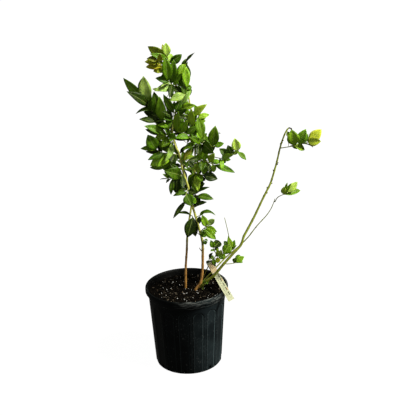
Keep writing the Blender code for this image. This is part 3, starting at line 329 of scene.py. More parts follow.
    "shoot_slim_tip": ("slim", [(227, 434, 14), (236, 443, 9), (250, 450, 7), (262, 455, 7)], [
        (0.70, 252, 471, 3, 10, 13), (0.85, 260, 481, 7, 30, 9), (0.92, 270, 479, 3, 40, 8),
        (1.00, 285, 482, 1, 0, 17), (0.70, 293, 459, -8, 20, 17)], 0, "lbbwm"),
    "shoot_far_low": ("left", [(27, 490, 25), (24, 508, 44), (16, 520, 62), (10, 528, 76)], [], 6, ""),
    "shoot_far_right": ("left", [(32, 570, 21), (48, 586, 40), (64, 598, 56), (74, 606, 66)], [], 5, ""),
    "shoot_far_left": ("centre", [(-20, 604, 1), (-34, 618, 24), (-46, 632, 42), (-54, 644, 54)], [], 5, ""),
    "shoot_far_mid": ("left", [(29, 630, 20), (20, 644, 38), (8, 656, 56), (0, 668, 68)], [], 6, ""),
    "shoot_far_high": ("left", [(22, 680, 18), (16, 694, 36), (10, 706, 50), (4, 716, 60)], [], 5, ""),
    "shoot_far_top": ("centre", [(-8, 722, 8), (-10, 728, 24), (-12, 734, 36), (-14, 738, 44)], [], 4, ""),
}
leaf_total = sum(len(shoot[2]) + shoot[3] for shoot in SHOOTS.values())
print(len(SHOOTS), "shoots and up to", leaf_total, "leaves")

# %% [markdown]
# No two leaves have quite the same green: old ones are dark, young ones lime, and a few at the top are
# reddish. Eleven tones cover them, and a shoot's letters choose among them. The tones also hold painted
# light and shade: leaves in shade get darker tones, and brightly lit ones paler tones. Leaves without a
# letter stand on the far side and are dark.
# %% Tones of the leaves
TONE_OF_REST = "d"
# Each tone is partly the leaf's own green and partly painted light or painted shade.
TONE_AND_SHADE_COLOURS = {
    "k": (0.0140, 0.0345, 0.0012),
    "d": (0.0430, 0.1010, 0.0024),
    "m": (0.0900, 0.1950, 0.0045),
    "b": (0.1900, 0.3500, 0.0130),
    "l": (0.3000, 0.4700, 0.0330),
    "p": (0.2900, 0.4600, 0.1000),
    "w": (0.4200, 0.6000, 0.1000),
    "y": (0.5200, 0.5900, 0.0500),
    "o": (0.2400, 0.2900, 0.0090),
    "q": (0.3600, 0.4000, 0.0160),
    "u": (0.1300, 0.1450, 0.0070),
}
print(len(TONE_AND_SHADE_COLOURS), "tones for", sum(len(shoot[4]) for shoot in SHOOTS.values()), "leaves")

# %% [markdown]
# Between the leaves that could be read one by one, the photograph shows scraps of dark green deeper in the
# crown. Each is made a small leaf of its own, behind its neighbours, and its mostly dark tone is painted
# shade of the crown's inside.
# %% Deep leaves
# A deep leaf: its root (x, z), its tip (x, z), depth, width and tone
DEEP_LEAVES = {
    "shoot_top": [(-31, 797, -36, 824, 4, 11, "o")],
    "shoot_red_tips": [(-36, 776, -48, 790, 2, 8, "o")],
    "shoot_left_high": [(-92, 714, -88, 747, -8, 13, "d"), (-50, 648, -76, 656, 2, 10, "k")],
    "shoot_upper_right": [
        (24, 742, 20, 776, 2, 9, "d"), (14, 724, 29, 723, 4, 11, "m"), (13, 764, 21, 783, 2, 6, "d"),
        (6, 768, 18, 790, 4, 9, "d"), (18, 708, 28, 724, 6, 8, "m")],
    "shoot_front_pair": [
        (-40, 690, -20, 697, -6, 10, "m"), (-20, 660, -34, 678, 4, 9, "k"),
        (-22, 714, -12, 694, 4, 11, "m"), (-44, 716, -64, 722, 2, 8, "p")],
    "shoot_pale": [(-4, 694, 16, 708, 6, 12, "m")],
    "shoot_mid_right": [
        (8, 660, 22, 668, -6, 10, "m"), (8, 610, 17, 634, 4, 9, "d"), (44, 640, 60, 651, 2, 12, "b")],
    "shoot_mid_left": [
        (-22, 610, -25, 634, 4, 8, "k"), (6, 617, -17, 611, 4, 9, "k"), (-8, 616, -19, 624, 4, 7, "k")],
    "shoot_inner": [
        (-20, 600, 21, 599, 10, 9, "k"), (-6, 563, 14, 584, 6, 9, "k"), (14, 588, 24, 612, 6, 8, "d")],
    "shoot_left_mid": [(-48, 612, -86, 626, 0, 13, "k")],
    "shoot_left_low": [
        (-48, 567, -88, 571, 2, 12, "k"), (-48, 568, -57, 590, 4, 13, "k"), (-9, 560, -24, 588, 6, 9, "k"),
        (-2, 530, -21, 536, 6, 10, "k"), (-44, 528, -80, 531, 2, 12, "d"),
        (-4, 548, -14, 562, 6, 8, "k"), (-24, 551, -40, 562, 6, 8, "k"), (-2, 524, 8, 536, 6, 7, "k")],
    "shoot_left_foot": [
        (-26, 519, -50, 529, 4, 12, "d"), (-26, 500, -45, 521, 6, 9, "d"), (10, 470, 2, 486, 6, 10, "k")],
    "shoot_gap": [
        (10, 498, 3, 524, 6, 7, "k"), (40, 508, 45, 523, 4, 10, "k"), (50, 540, 63, 543, 4, 8, "k")],
    "shoot_low_hanging": [(19, 472, 12, 492, 12, 8, "d"), (10, 466, -4, 457, 2, 9, "d")],
    "shoot_right_bright": [(34, 502, 56, 494, 4, 13, "k"), (34, 492, 53, 483, 6, 11, "k")],
    "shoot_right_branch": [(98, 546, 119, 544, -2, 10, "m"), (122, 556, 140, 566, 0, 9, "d")],
    "shoot_leaning_top": [(256, 612, 264, 596, 2, 11, "m"), (266, 575, 290, 569, 2, 11, "m")],
    "shoot_arched": [(38, 401, 55, 417, 2, 8, "d")],
    "shoot_green_low": [(48, 352, 79, 337, 4, 8, "b"), (62, 358, 79, 352, 4, 9, "m")],
    "shoot_basal_foot": [(74, 262, 70, 286, 8, 11, "d"), (98, 280, 82, 292, 8, 8, "d")],
    "shoot_slim_pair": [(108, 318, 99, 331, 8, 11, "d")],
}
print(sum(len(found) for found in DEEP_LEAVES.values()), "deep leaves")

# %% [markdown]
# A place read off the picture is carried along the line of sight to its depth. A route through such
# places is smoothed with a Catmull-Rom curve, which passes through every one of them, as a stem does.
# %% Routes
CANE_SPACING = 32 * MM
ROOT_SUNK = 1.6 * MM


def at(x, z, depth):
    """The point seen at (x, z) on the reading plane, depth millimetres behind it."""
    seen = Vector((x, 0, z)) * MM
    return EYE + (seen - EYE) * (1 - depth * MM / EYE.y)


def smooth_route(points, spacing):
    """A curve through the points, with a point about every spacing metres."""
    ends = [points[0] * 2 - points[1], *points, points[-1] * 2 - points[-2]]
    route = [points[0]]
    for before, start, end, after in zip(ends, ends[1:], ends[2:], ends[3:]):
        count = max(1, round((end - start).length / spacing))
        for i in range(1, count + 1):
            t = i / count
            route.append(0.5 * (
                2 * start + (end - before) * t
                + (2 * before - 5 * start + 4 * end - after) * t ** 2
                + (3 * start - 3 * end + after - before) * t ** 3))
    return route


def spans(route):
    """The length from each place of a route to the next."""
    return [(b - a).length for a, b in zip(route, route[1:])]


def along_route(route, share):
    """The point at a share of a route's length, kept a little inside its end."""
    lengths = spans(route)
    left = min(share * sum(lengths), sum(lengths) - ROOT_SUNK)
    for start, end, length in zip(route, route[1:], lengths):
        if left <= length:
            return start.lerp(end, left / length)
        left -= length
    return route[-1]


cane_routes = {}
for name, (_, _, places, _) in CANES.items():
    cane_routes[name] = smooth_route([at(*place) for place in places], CANE_SPACING)
    print(name, "cane", round(sum(spans(cane_routes[name])), 3), "m long")

# %% [markdown]
# A shoot leaves its cane at the bark, on the side it grows to. The solid twig stops a hair short of the
# bark, so this works out the same start, and also the cane's heart there, where the finer twig is rooted.
# %% Where each twig starts
GAP = 0.3 * MM
CLEARANCE = 0.2 * MM
TWIG_RADIUS = 1.25 * MM
TWIG_SPACING = 26 * MM
DENSE_SPACING = 3 * MM


def heading(route, index):
    """The way a route runs at one of its places."""
    return (route[min(index + 1, len(route) - 1)] - route[max(index - 1, 0)]).normalized()


def square_to(run, way):
    """The part of a way that is square to a run, as a direction."""
    return (way - run * way.dot(run)).normalized()


def twig_start(cane, places):
    """The twig's route just clear of the bark, and the cane's heart beside it."""
    foot_radius, tip_radius = CANES[cane][:2]
    points = [at(*place) for place in places]
    dense = smooth_route(cane_routes[cane], DENSE_SPACING)
    index = min(range(len(dense)), key=lambda i: (dense[i] - points[0]).length)
    heart, share = dense[index], index / (len(dense) - 1)
    run = heading(dense, index)
    out = points[1] - heart
    lean = abs(out.normalized().dot(run))
    bark = (foot_radius + (tip_radius - foot_radius) * share) * MM
    points[0] = heart + square_to(run, out) * (bark + GAP + CLEARANCE + TWIG_RADIUS * lean)
    return smooth_route(points, TWIG_SPACING), heart


twig_routes = {name: twig_start(shoot[0], shoot[1]) for name, shoot in SHOOTS.items()}
print(len(twig_routes), "twigs of up to", max(len(route) for route, _ in twig_routes.values()), "points")

# %% [markdown]
# A leaf is placed by its root on the twig, its tip, and the turn of its upper side. Where a leaf would
# have crossed another, the solid was swung or turned a little, so the same tries are gone through here.
# %% The tries of a read leaf
BLADE_ARCH = 0.06
PUSHES = (0, 9, -9, 18, -18, 27, -27, 36, -36, 48, -48)
TWISTS = (0, 25, -25, 50, -50)
PUSH_STEP = 9
TWIST_STEP = 12.5
# The smallest changes are tried first
LEAF_TRIES = sorted(
    itertools.product(PUSHES, TWISTS), key=lambda pair: abs(pair[0]) / PUSH_STEP + abs(pair[1]) / TWIST_STEP)


def leaf_frame(root, tip, turn):
    """The leaf's length, the way along its rib, across it, and up from its upper side."""
    length = (tip - root).length
    along = (tip - root) / length
    facing = square_to(along, (EYE - root).normalized())
    sky = along.cross(facing)
    if sky.z < 0:
        sky.negate()
    normal = facing * math.cos(turn) + sky * math.sin(turn)
    return length, along, along.cross(normal), normal


def read_leaf_tries(row):
    """A leaf read off the photograph, then the same leaf nearer, farther or turned on its rib."""
    share, x, z, depth, turn = row[:5]
    width = row[5] * MM if len(row) > 5 else None
    arch = row[6] if len(row) > 6 else BLADE_ARCH
    for push, twist in LEAF_TRIES:
        yield share, at(x, z, depth + push), math.radians(turn + twist), width, arch


print(len(LEAF_TRIES), "tries for a read leaf")

# %% [markdown]
# The far side of the crown isn't seen. Its leaves follow the plant's own rule instead: they spiral up the
# twig, two turns in five leaves, and hold their upper side to the sky.
# %% The tries of a far leaf
SPIRAL = 144
SPIRAL_START = 40
FAR_BARE = 0.25
FAR_SPREAD = math.radians(45)
FAR_LENGTH = (34 * MM, 46 * MM)
FAR_RISE = (0.1, 0.8)
FAR_ARCH = 0.10
FAR_SWINGS = (0, 20, -20, 40, -40, 60, -60, 85, -85)
FAR_LIFTS = (0, 0.4, -0.4)


def upward_turn(root, way):
    """The turn from facing the viewer that lays a leaf's upper side to the sky."""
    facing = square_to(way, (EYE - root).normalized())
    sky = square_to(way, Vector((0, 0, 1)))
    return math.acos(max(-1, min(1, facing.dot(sky))))


def far_leaf_tries(route, index, count, draw):
    """A leaf on the far side, then the same leaf swung aside, raised or lowered."""
    share = FAR_BARE + (1 - FAR_BARE) * (index + 1) / count
    root = along_route(route, share)
    spread = FAR_SPREAD * math.sin(math.radians(SPIRAL * index + SPIRAL_START))
    length = draw.uniform(*FAR_LENGTH)
    rise = draw.uniform(*FAR_RISE)
    for swing, lift in itertools.product(FAR_SWINGS, FAR_LIFTS):
        aside = spread + math.radians(swing)
        way = Vector((math.sin(aside), math.cos(aside), rise + lift)).normalized()
        yield share, root + way * length, upward_turn(root, way), None, FAR_ARCH


print(len(FAR_SWINGS) * len(FAR_LIFTS), "tries for a far leaf")

# %% [markdown]
# The try that was taken is the one whose points lie on the solid. The solid's corners are put in a tree,
# which finds the nearest of them quickly, and a leaf that fits no corner has no solid and is left out.
# %% Finding each leaf on its solid
SEED = 7
BLADE_WIDTH = 0.42
BLADE_FOLD = 0.36
OUTLINE_POWER = 0.85
SOLID_BLADE = 0.8 * MM
SMALL_BLADE = 56 * MM
LONG_BLADE = 76 * MM
WIDEST_STATION = {"small": (0.28, 1.12), "short": (0.46, 1.07), "long": (0.34, 1.04)}
ON_SOLID = 0.1 * MM


def blade_width(u):
    """Half-width of a blueberry leaf along its rib, from 0 at the root to 0 at the tip."""
    return math.sin(math.pi * u ** OUTLINE_POWER) ** OUTLINE_POWER


def solid_points(root, leaf, width, arch):
    """The solid leaf's two tip corners and the four at its widest station."""
    length, along, across, normal = leaf
    size = "small" if length < SMALL_BLADE else "long" if length > LONG_BLADE else "short"
    wide, spread = WIDEST_STATION[size]
    half = blade_width(wide) * spread * width / 2
    points = []
    for u, side in ((1, 0), (wide, half), (wide, -half)):
        through = (normal - along * arch * 4 * (1 - 2 * u)).normalized()
        rise = arch * length * 4 * u * (1 - u) + BLADE_FOLD * abs(side)
        place = root + along * (u * length) + across * side + normal * rise
        points += [place + through * SOLID_BLADE / 2, place - through * SOLID_BLADE / 2]
    return points


def leaves_of(name):
    """Every leaf of a shoot that its solid has, as (row number, root, leaf frame, width, arch)."""
    route = twig_routes[name][0]
    rows, far_count = SHOOTS[name][2:4]
    draw = random.Random(f"{SEED} {name}")
    tries = [read_leaf_tries(row) for row in rows]
    tries += [far_leaf_tries(route, i, far_count, draw) for i in range(far_count)]
    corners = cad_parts[name].data.vertices
    tree = KDTree(len(corners))
    for i, corner in enumerate(corners):
        tree.insert(corner.co, i)
    tree.balance()
    for number, options in enumerate(tries):
        for share, tip, turn, width, arch in options:
            root = along_route(route, share)
            leaf = leaf_frame(root, tip, turn)
            wide = width or leaf[0] * BLADE_WIDTH
            if all(tree.find(point)[2] < ON_SOLID for point in solid_points(root, leaf, wide, arch)):
                yield number, root, leaf, wide, arch
                break


leaves = {name: list(leaves_of(name)) for name in SHOOTS}
print(sum(len(found) for found in leaves.values()), "leaves found in the solids")

# %% [markdown]
# Stems are swept: a small ring is extruded from place to place along its route and turned to face the way
# it goes, and its size follows the stem's taper. A bevelled curve could do this too, but the ring leaves a
# plain mesh, whose corners can be tinted straight away.
# %% Sweeping a ring along a route
def between(low, high, steps):
    """Even steps from low to high, with both ends."""
    return [low + (high - low) * i / steps for i in range(steps + 1)]


def extruded(shape, edges):
    """Extrudes a line of edges once, and gives the corners and the edges of the new line."""
    grown = bmesh.ops.extrude_edge_only(shape, edges=edges)["geom"]
    verts = [item for item in grown if isinstance(item, bmesh.types.BMVert)]
    line = [item for item in grown if isinstance(item, bmesh.types.BMEdge)
            and all(vert in verts for vert in item.verts)]
    return verts, line


def sweep(shape, route, radii, sides):
    """A closed stem round a route, with a radius for each of its places."""
    way = heading(route, 0)
    turn = way.to_track_quat("Z", "Y")
    ring = bmesh.ops.create_circle(shape, segments=sides, radius=1, cap_ends=True)["verts"]
    edges = list({edge for vert in ring for edge in vert.link_edges})
    before = Matrix.Identity(4)
    for i, (place, radius) in enumerate(zip(route, radii)):
        ahead = heading(route, i)
        turn = way.rotation_difference(ahead) @ turn
        way = ahead
        after = Matrix.Translation(place) @ turn.to_matrix().to_4x4() @ Matrix.Scale(radius, 4)
        if i:
            ring, edges = extruded(shape, edges)
        bmesh.ops.transform(shape, matrix=after @ before.inverted(), verts=ring)
        before = after
    bmesh.ops.holes_fill(shape, edges=edges, sides=sides)


print("a stem is a ring swept along its route")

# %% [markdown]
# Colour that changes along a stem or from leaf to leaf is kept in an attribute on the mesh, called tint,
# and the material reads it. A finished piece is told which body it rides on and which solids it stands in
# for.
# %% Tints and finished pieces
def tint_layer(shape):
    layers = shape.verts.layers.float_color
    return layers.get("tint") or layers.new("tint")


def paint(shape, verts, colour):
    tint = tint_layer(shape)
    for vert in verts:
        vert[tint] = (*colour, 1)


def finished(name, shape, materials, nodes, slot):
    """Makes a piece of the mesh: faces outwards, smooth, riding on the plant in place of its solids."""
    bmesh.ops.recalc_face_normals(shape, faces=shape.faces)
    mesh = mesh_of(shape, name)
    mesh.shade_smooth()
    for material in materials:
        mesh.materials.append(material)
    piece = new_object(name, mesh)
    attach(piece, "root")
    if nodes:
        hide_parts(*nodes)
    return piece


print("pieces ride on the body root")

# %% [markdown]
# A material is a tree of small nodes. A wire stands for a node's output here, and arithmetic on a wire adds
# nodes that do it, so a pattern reads like a sum. Patterns stand still on the plant, because they read the
# object's own coordinates.
# %% Shader nodes and wires
class Wire:
    """A node's output. Arithmetic on it adds maths nodes, and an index gives another output."""

    def __init__(self, socket):
        self.socket, self.tree = socket, socket.id_data

    def __getitem__(self, output):
        return Wire(self.socket.node.outputs[output])

    def maths(self, operation, *others):
        return add_node(self.tree, "Math", dict(enumerate((self, *others))), operation=operation)

    def __add__(self, other):
        return self.maths("ADD", other)

    def __sub__(self, other):
        return self.maths("SUBTRACT", other)

    def __mul__(self, other):
        return self.maths("MULTIPLY", other)

    def __pow__(self, power):
        return self.maths("POWER", power)

    def __abs__(self):
        return self.maths("ABSOLUTE")

    def ranged(self, low, high, to_low=0.0, to_high=1.0):
        """The range from low to high carried to another range, with soft ends."""
        inputs = dict(enumerate((self, low, high, to_low, to_high)))
        return add_node(self.tree, "MapRange", inputs, interpolation_type="SMOOTHSTEP")

    def mixed(self, share, other, kind="MIX"):
        """This colour, mixed with another by a share from 0 to 1."""
        return blend(self.tree, share, self, other, kind)

    def into(self, node, name):
        self.tree.links.new(self.socket, node.inputs[name])


def add_node(tree, kind, inputs=None, **settings):
    """Adds a shader node and gives its first output. An input takes a number, a colour or a wire."""
    made = tree.nodes.new("ShaderNode" + kind)
    for key, value in settings.items():
        setattr(made, key, value)
    for key, value in (inputs or {}).items():
        if isinstance(value, Wire):
            value.into(made, key)
        else:
            made.inputs[key].default_value = value
    return Wire(made.outputs[0])


def blend(tree, share, first, second, kind="MIX"):
    first, second = (colour if isinstance(colour, Wire) else (*colour, 1) for colour in (first, second))
    return add_node(tree, "Mix", {0: share, 6: first, 7: second}, data_type="RGBA", blend_type=kind)[2]


def place_of(tree, stretch=(1, 1, 1)):
    """Object coordinates, stretched along the axes."""
    place = add_node(tree, "TexCoord")["Object"]
    return add_node(tree, "Mapping", {"Vector": place, "Scale": stretch})


def clouds(place, scale, detail, roughness=0.5):
    inputs = {"Vector": place, "Scale": scale, "Detail": detail, "Roughness": roughness}
    return add_node(place.tree, "TexNoise", inputs)["Fac"]


def cells(place, scale, feature="F1"):
    """The distance to the nearest cell's middle, or to its edge."""
    return add_node(place.tree, "TexVoronoi", {"Vector": place, "Scale": scale}, feature=feature)["Distance"]


def attribute(tree, name):
    return add_node(tree, "Attribute", attribute_name=name)


def relief(height, shader, distance, strength):
    inputs = {"Height": height, "Distance": distance, "Strength": strength}
    add_node(height.tree, "Bump", inputs).into(shader, "Normal")


print("a wire can be added to, multiplied, ranged and mixed")

# %% [markdown]
# Young blueberry bark is smooth, with fine lengthwise streaks and pale pores. Its colour changes up the
# cane: orange-brown and woody near the soil, yellow-green where it is this year's wood. The colour is
# the mesh's tint, and the material adds the streaks, the pores and a low relief.
# %% Bark material
STREAK_STRETCH = (420, 420, 45)
PORE_STRETCH = (330, 330, 190)
BARK_SHADE = (0.60, 0.54, 0.46)
PORE_PALE = (0.55, 0.45, 0.28)


def bark_material(name, roughness):
    material, tree, shader = new_material(name, {"Roughness": roughness})
    streaks = clouds(place_of(tree, STREAK_STRETCH), 1.0, 4.0)
    pores = cells(place_of(tree, PORE_STRETCH), 1.0)
    tint = attribute(tree, "tint")
    colour = tint.mixed(1.0, BARK_SHADE, "MULTIPLY").mixed(streaks.ranged(0.35, 0.62), tint)
    colour = colour.mixed(pores.ranged(0.20, 0.08), tint.mixed(0.5, PORE_PALE))
    colour.into(shader, "Base Color")
    relief(streaks, shader, 0.3 * MM, 0.6)
    return material


woody_bark = bark_material("woody bark", 0.55)
green_bark = bark_material("green bark", 0.45)
print("two barks with", len(woody_bark.node_tree.nodes), "nodes each")

# %% [markdown]
# A bud sits at each joint of a cane, just above the scar of an old leaf, two fifths of a turn on from the
# last. The leaning cane also has fat dark buds, whose places were read off the photograph.
# %% Bark colours and buds
WOODY_TOP = {"centre": 0.315, "left": 0.322}
WOODY_BLEND = 0.045
GREEN_START = 0.01
GREEN_BLEND = 0.06
BROWN = (0.285, 0.145, 0.030)
OLIVE = (0.200, 0.235, 0.045)
YELLOW_GREEN = (0.640, 0.670, 0.135)
CANE_GREEN = {
    "leaning": (0.300, 0.370, 0.028), "slim": (0.300, 0.370, 0.032),
    "basal": (0.110, 0.110, 0.012), "sprout": (0.180, 0.280, 0.020)}
BUD_BROWN = (0.050, 0.035, 0.012)
BUD_SHADE = 0.55
LOWEST_BUD = 0.215
JOINT_STEP = 23 * MM
# A kind of bud: its length, its width, how far out in the bark it sits, and how far it leans out
SMALL_BUD = (3.0 * MM, 1.6 * MM, 0.75, 0.55)
BIG_BUD = (5.5 * MM, 3.2 * MM, 0.80, 0.80)
BIG_BUD_DEPTH = -18
BIG_BUDS = [
    (247, 588), (240, 577), (233, 529), (224, 514), (219, 481), (210, 467), (211, 453), (180, 396),
    (174, 392)]


def clamped(value):
    return max(0.0, min(1.0, value))


def cane_colour(name, height):
    """The bark's colour at a height, browner on the woody foot of the two old canes."""
    if name not in WOODY_TOP:
        return Vector(CANE_GREEN[name])
    above = height - WOODY_TOP[name]
    foot = Vector(BROWN).lerp(Vector(OLIVE), clamped(above / WOODY_BLEND + 0.5))
    return foot.lerp(Vector(YELLOW_GREEN), clamped((above - GREEN_START) / GREEN_BLEND))


def add_bud(shape, place, radius, side, ahead, kind):
    """A pointed bud on the bark: a small ball stretched along its way and drawn in at its tip."""
    length, width, seat, lean = kind
    ball = bmesh.ops.create_icosphere(shape, subdivisions=1, radius=0.5)["verts"]
    for vert in ball:
        drawn = 1 - 0.55 * max(0, vert.co.z + 0.1)
        vert.co = (vert.co.x * width * drawn, vert.co.y * width * drawn, (vert.co.z + 0.35) * length)
    turn = (side * lean + ahead).normalized().to_track_quat("Z", "Y").to_matrix().to_4x4()
    bmesh.ops.transform(shape, matrix=Matrix.Translation(place + side * radius * seat) @ turn, verts=ball)
    return ball


def add_joint_buds(shape, name, route, runs, radii):
    """A small bud at every joint above the soil."""
    draw = random.Random(f"{SEED} buds {name}")
    for count in range(1, int(runs[-1] / JOINT_STEP)):
        index = min(range(len(runs)), key=lambda i: abs(runs[i] - count * JOINT_STEP))
        if index < 3 or index > len(route) - 3 or route[index].z < LOWEST_BUD:
            continue
        ahead = heading(route, index)
        side = ahead.orthogonal().normalized()
        side.rotate(Matrix.Rotation(math.radians(SPIRAL * count + draw.uniform(-15, 15)), 3, ahead))
        for vert in add_bud(shape, route[index], radii[index], side, ahead, SMALL_BUD):
            paint(shape, [vert], cane_colour(name, vert.co.z) * BUD_SHADE)


def add_big_buds(shape, route, radii):
    """The fat buds of the leaning cane, each on the side of the bark where it is seen."""
    for x, z in BIG_BUDS:
        seen = at(x, z, BIG_BUD_DEPTH)
        index = min(range(2, len(route) - 2), key=lambda i: (route[i] - seen).length)
        ahead = heading(route, index)
        side = square_to(ahead, seen - route[index])
        paint(shape, add_bud(shape, route[index], radii[index], side, ahead, BIG_BUD), BUD_BROWN)


print(len(BIG_BUDS), "big buds on the leaning cane")

# %% [markdown]
# The six canes come next. Each is swept at a point every few millimetres and swells at its joints. The
# short spurs and the buds are fused into the same piece, and the leaning cane ends in a dry black tip.
# %% Canes
STEM_SPACING = 4 * MM
JOINT_RISE = 0.14
JOINT_HALF = 2.4 * MM
BLUNT_TIP = 0.55
SPUR_RADII = (1.5 * MM, 0.6 * MM)
DRY_TIP = 0.258
DRY_BLACK = (0.012, 0.010, 0.008)


def joint_swelling(run, radius):
    """The radius with a low swelling at every joint along the stem."""
    off = (run + JOINT_STEP / 2) % JOINT_STEP - JOINT_STEP / 2
    return radius * (1 + JOINT_RISE * math.exp(-(off / JOINT_HALF) ** 2))


def make_cane(name):
    foot_radius, tip_radius, _, spurs = CANES[name]
    route = smooth_route(cane_routes[name], STEM_SPACING)
    runs = list(itertools.accumulate(spans(route), initial=0.0))
    taper = [(foot_radius + (tip_radius - foot_radius) * run / runs[-1]) * MM for run in runs]
    radii = [joint_swelling(run, radius) for run, radius in zip(runs, taper)]
    radii[-1] *= BLUNT_TIP
    shape = bmesh.new()
    tint_layer(shape)
    sweep(shape, route, radii, sides=12)
    for vert in shape.verts:
        paint(shape, [vert], cane_colour(name, vert.co.z))
    for ends in spurs:
        spur = smooth_route([at(*place) for place in ends], DENSE_SPACING)
        known = set(shape.verts)
        sweep(shape, spur, between(*SPUR_RADII, len(spur) - 1), sides=8)
        paint(shape, set(shape.verts) - known, BUD_BROWN)
    add_joint_buds(shape, name, route, runs, radii)
    if name == "leaning":
        add_big_buds(shape, route, radii)
        paint(shape, [vert for vert in shape.verts if vert.co.x > DRY_TIP], DRY_BLACK)
    wood, slot = (woody_bark, "brown_bark") if name in WOODY_TOP else (green_bark, "green_bark")
    return finished("fine_cane_" + name, shape, [wood], ["cane_" + name], slot)


for cane_name in CANES:
    cane = make_cane(cane_name)
    print(cane.name, len(cane.data.polygons), "faces")

# %% [markdown]
# A blueberry leaf is a thin oval blade, folded up a little along its midrib and arched over its length. One
# flat blade is made as a grid, given its thickness, and bent to each leaf's place. It carries a map of
# where across and along the leaf each corner is, so the veins can be drawn in the material.
# %% The flat blade
ACROSS = 4
STATIONS = 9


def flat_blade():
    """A thin slab over the square from -1 to 1: x across the leaf, y along it, z through it."""
    shape = bmesh.new()
    bmesh.ops.create_grid(shape, x_segments=ACROSS, y_segments=STATIONS, size=1)
    bmesh.ops.solidify(shape, geom=shape.faces, thickness=1)
    middle = sum(vert.co.z for vert in shape.verts) / len(shape.verts)
    bmesh.ops.translate(shape, verts=shape.verts, vec=(0, 0, -middle))
    bmesh.ops.recalc_face_normals(shape, faces=shape.faces)
    places = shape.loops.layers.uv.new("leaf")
    marks = shape.loops.layers.float_color.new("marks")
    for face in shape.faces:
        under = 1.0 if face.normal.z < -0.5 else 0.0
        for loop in face.loops:
            loop[places].uv = (loop.vert.co.x / 2 + 0.5, loop.vert.co.y / 2 + 0.5)
            loop[marks] = (under, 0, 0, 1)
    tint_layer(shape)
    return mesh_of(shape, "flat blade")


blade_mesh = flat_blade()
print("flat blade:", len(blade_mesh.polygons), "faces")

# %% [markdown]
# The veins are worked out from the leaf's map. The rib is a line down its middle. The side veins are even
# steps along the leaf that sweep towards the tip and wander a little, and a pattern of cells gives the
# fine net between them. Between two side veins the blade swells like a quilt.
# %% Leaf veins
SIDE_VEINS = 8.5
VEIN_SWEEP = 2.1
VEIN_WANDER = 0.8
NET_STRETCH = (9, 22, 1)


def leaf_veins(tree):
    """How far aside of the rib a place is, its shares of rib, side vein and net, and its relief."""
    place = add_node(tree, "UVMap", uv_map="leaf")
    split = add_node(tree, "SeparateXYZ", {"Vector": place})
    aside = abs(split[0] - 0.5) * 2.0
    rib = aside.ranged(0.12, 0.04)
    wander = clouds(place_of(tree), 170.0, 3.0)
    forward = split[1] * SIDE_VEINS - aside * VEIN_SWEEP + wander * VEIN_WANDER
    off_vein = forward.maths("PINGPONG", 0.5) * 2.0
    inner = aside.ranged(1.0, 0.72)
    side_vein = off_vein.ranged(0.20, 0.03) * inner
    net = cells(add_node(tree, "Mapping", {"Vector": place, "Scale": NET_STRETCH}), 1.0, "DISTANCE_TO_EDGE")
    return aside, rib, side_vein, net.ranged(0.10, 0.02), off_vein ** 0.6 * inner + net * 0.5 - rib


print("about", round(SIDE_VEINS), "side veins on each side of a leaf")

# %% [markdown]
# The upper side is dark and waxy with a pale midrib and sunken side veins. The underside is paler and
# duller, and its net of veins stands out. Young leaves are lime or yellow, a few have red edges, and a few
# have brown specks. Tone, side, redness and specks are attributes, so one material serves every leaf.
# %% Leaf material
UPPER_SHADE = (0.62, 0.66, 0.60)
VEIN_LIGHT = (0.05, 0.06, 0.012)
RIB_PALE = (0.30, 0.38, 0.10)
UNDER_PALE = (0.24, 0.36, 0.16)
UNDER_NET = (0.55, 0.62, 0.50)
UNDER_RIB = (0.50, 0.60, 0.28)
EDGE_RED = (0.42, 0.11, 0.015)
SPECK_BROWN = (0.10, 0.05, 0.012)


def leaf_material():
    material, tree, shader = new_material("blueberry leaf", {
        "Roughness": 0.42, "Specular IOR Level": 0.10, "Subsurface Weight": 0.5,
        "Subsurface Radius": (1.0, 1.0, 0.35), "Subsurface Scale": 0.9 * MM})
    aside, rib, side_vein, net_vein, height = leaf_veins(tree)
    marks = add_node(tree, "SeparateColor", {"Color": attribute(tree, "marks")})
    under, red, chance = marks, marks[1], marks[2]
    tint = attribute(tree, "tint")

    mottle = clouds(place_of(tree), 95.0, 4.0)
    upper = tint.mixed(1.0, UPPER_SHADE, "MULTIPLY").mixed(mottle.ranged(0.35, 0.65), tint)
    lighter = tint.mixed(1.0, VEIN_LIGHT, "ADD")
    upper = upper.mixed(side_vein * 0.45, lighter).mixed(net_vein * 0.18, lighter)
    upper = upper.mixed(rib * 0.65, tint.mixed(0.5, RIB_PALE))
    pale = tint.mixed(0.45, UNDER_PALE)
    lower = pale.mixed(net_vein * 0.45, pale.mixed(1.0, UNDER_NET, "MULTIPLY"))
    lower = lower.mixed(rib.maths("MAXIMUM", side_vein), pale.mixed(0.4, UNDER_RIB))
    colour = upper.mixed(under, lower)

    colour = colour.mixed((aside + mottle).ranged(1.05, 1.5) * red, EDGE_RED)
    speck = cells(place_of(tree), 160.0).ranged(0.16, 0.10) * chance.ranged(0.72, 0.80)
    colour = colour.mixed(speck * 0.8, SPECK_BROWN)
    colour.into(shader, "Base Color")
    (under * 0.22 + mottle.ranged(0.3, 0.7, 0.30, 0.42)).into(shader, "Roughness")
    relief(height, shader, 0.35 * MM, 0.7)
    return material


leaf_finish = leaf_material()
twig_bark = bark_material("twig bark", 0.45)
print("leaf material with", len(leaf_finish.node_tree.nodes), "nodes")

# %% [markdown]
# A blade is copied in, its corners are moved to the leaf's outline, and then it is arched, folded and given
# a slight wave along its edge. Its tone is varied a little, as on any plant, and the tones of young leaves
# get a red edge.
# %% Bending a blade to its leaf
BLADE = 0.45 * MM
BLADE_HALF = 0.53
PETIOLE = 2.0 * MM
PETIOLE_HALF = 0.55 * MM
TIP_HALF = 0.15 * MM
EDGE_WAVE = (0.2, 0.9)
EDGE_WAVES = 9
WAVE_SHIFT = 2.1
WAVE_FULL = 5 * MM
LIGHTNESS = (0.85, 1.15)
WARMTH = (0.9, 1.12)
RED_TONES = "qy"
REDNESS = (0.08, 0.35)


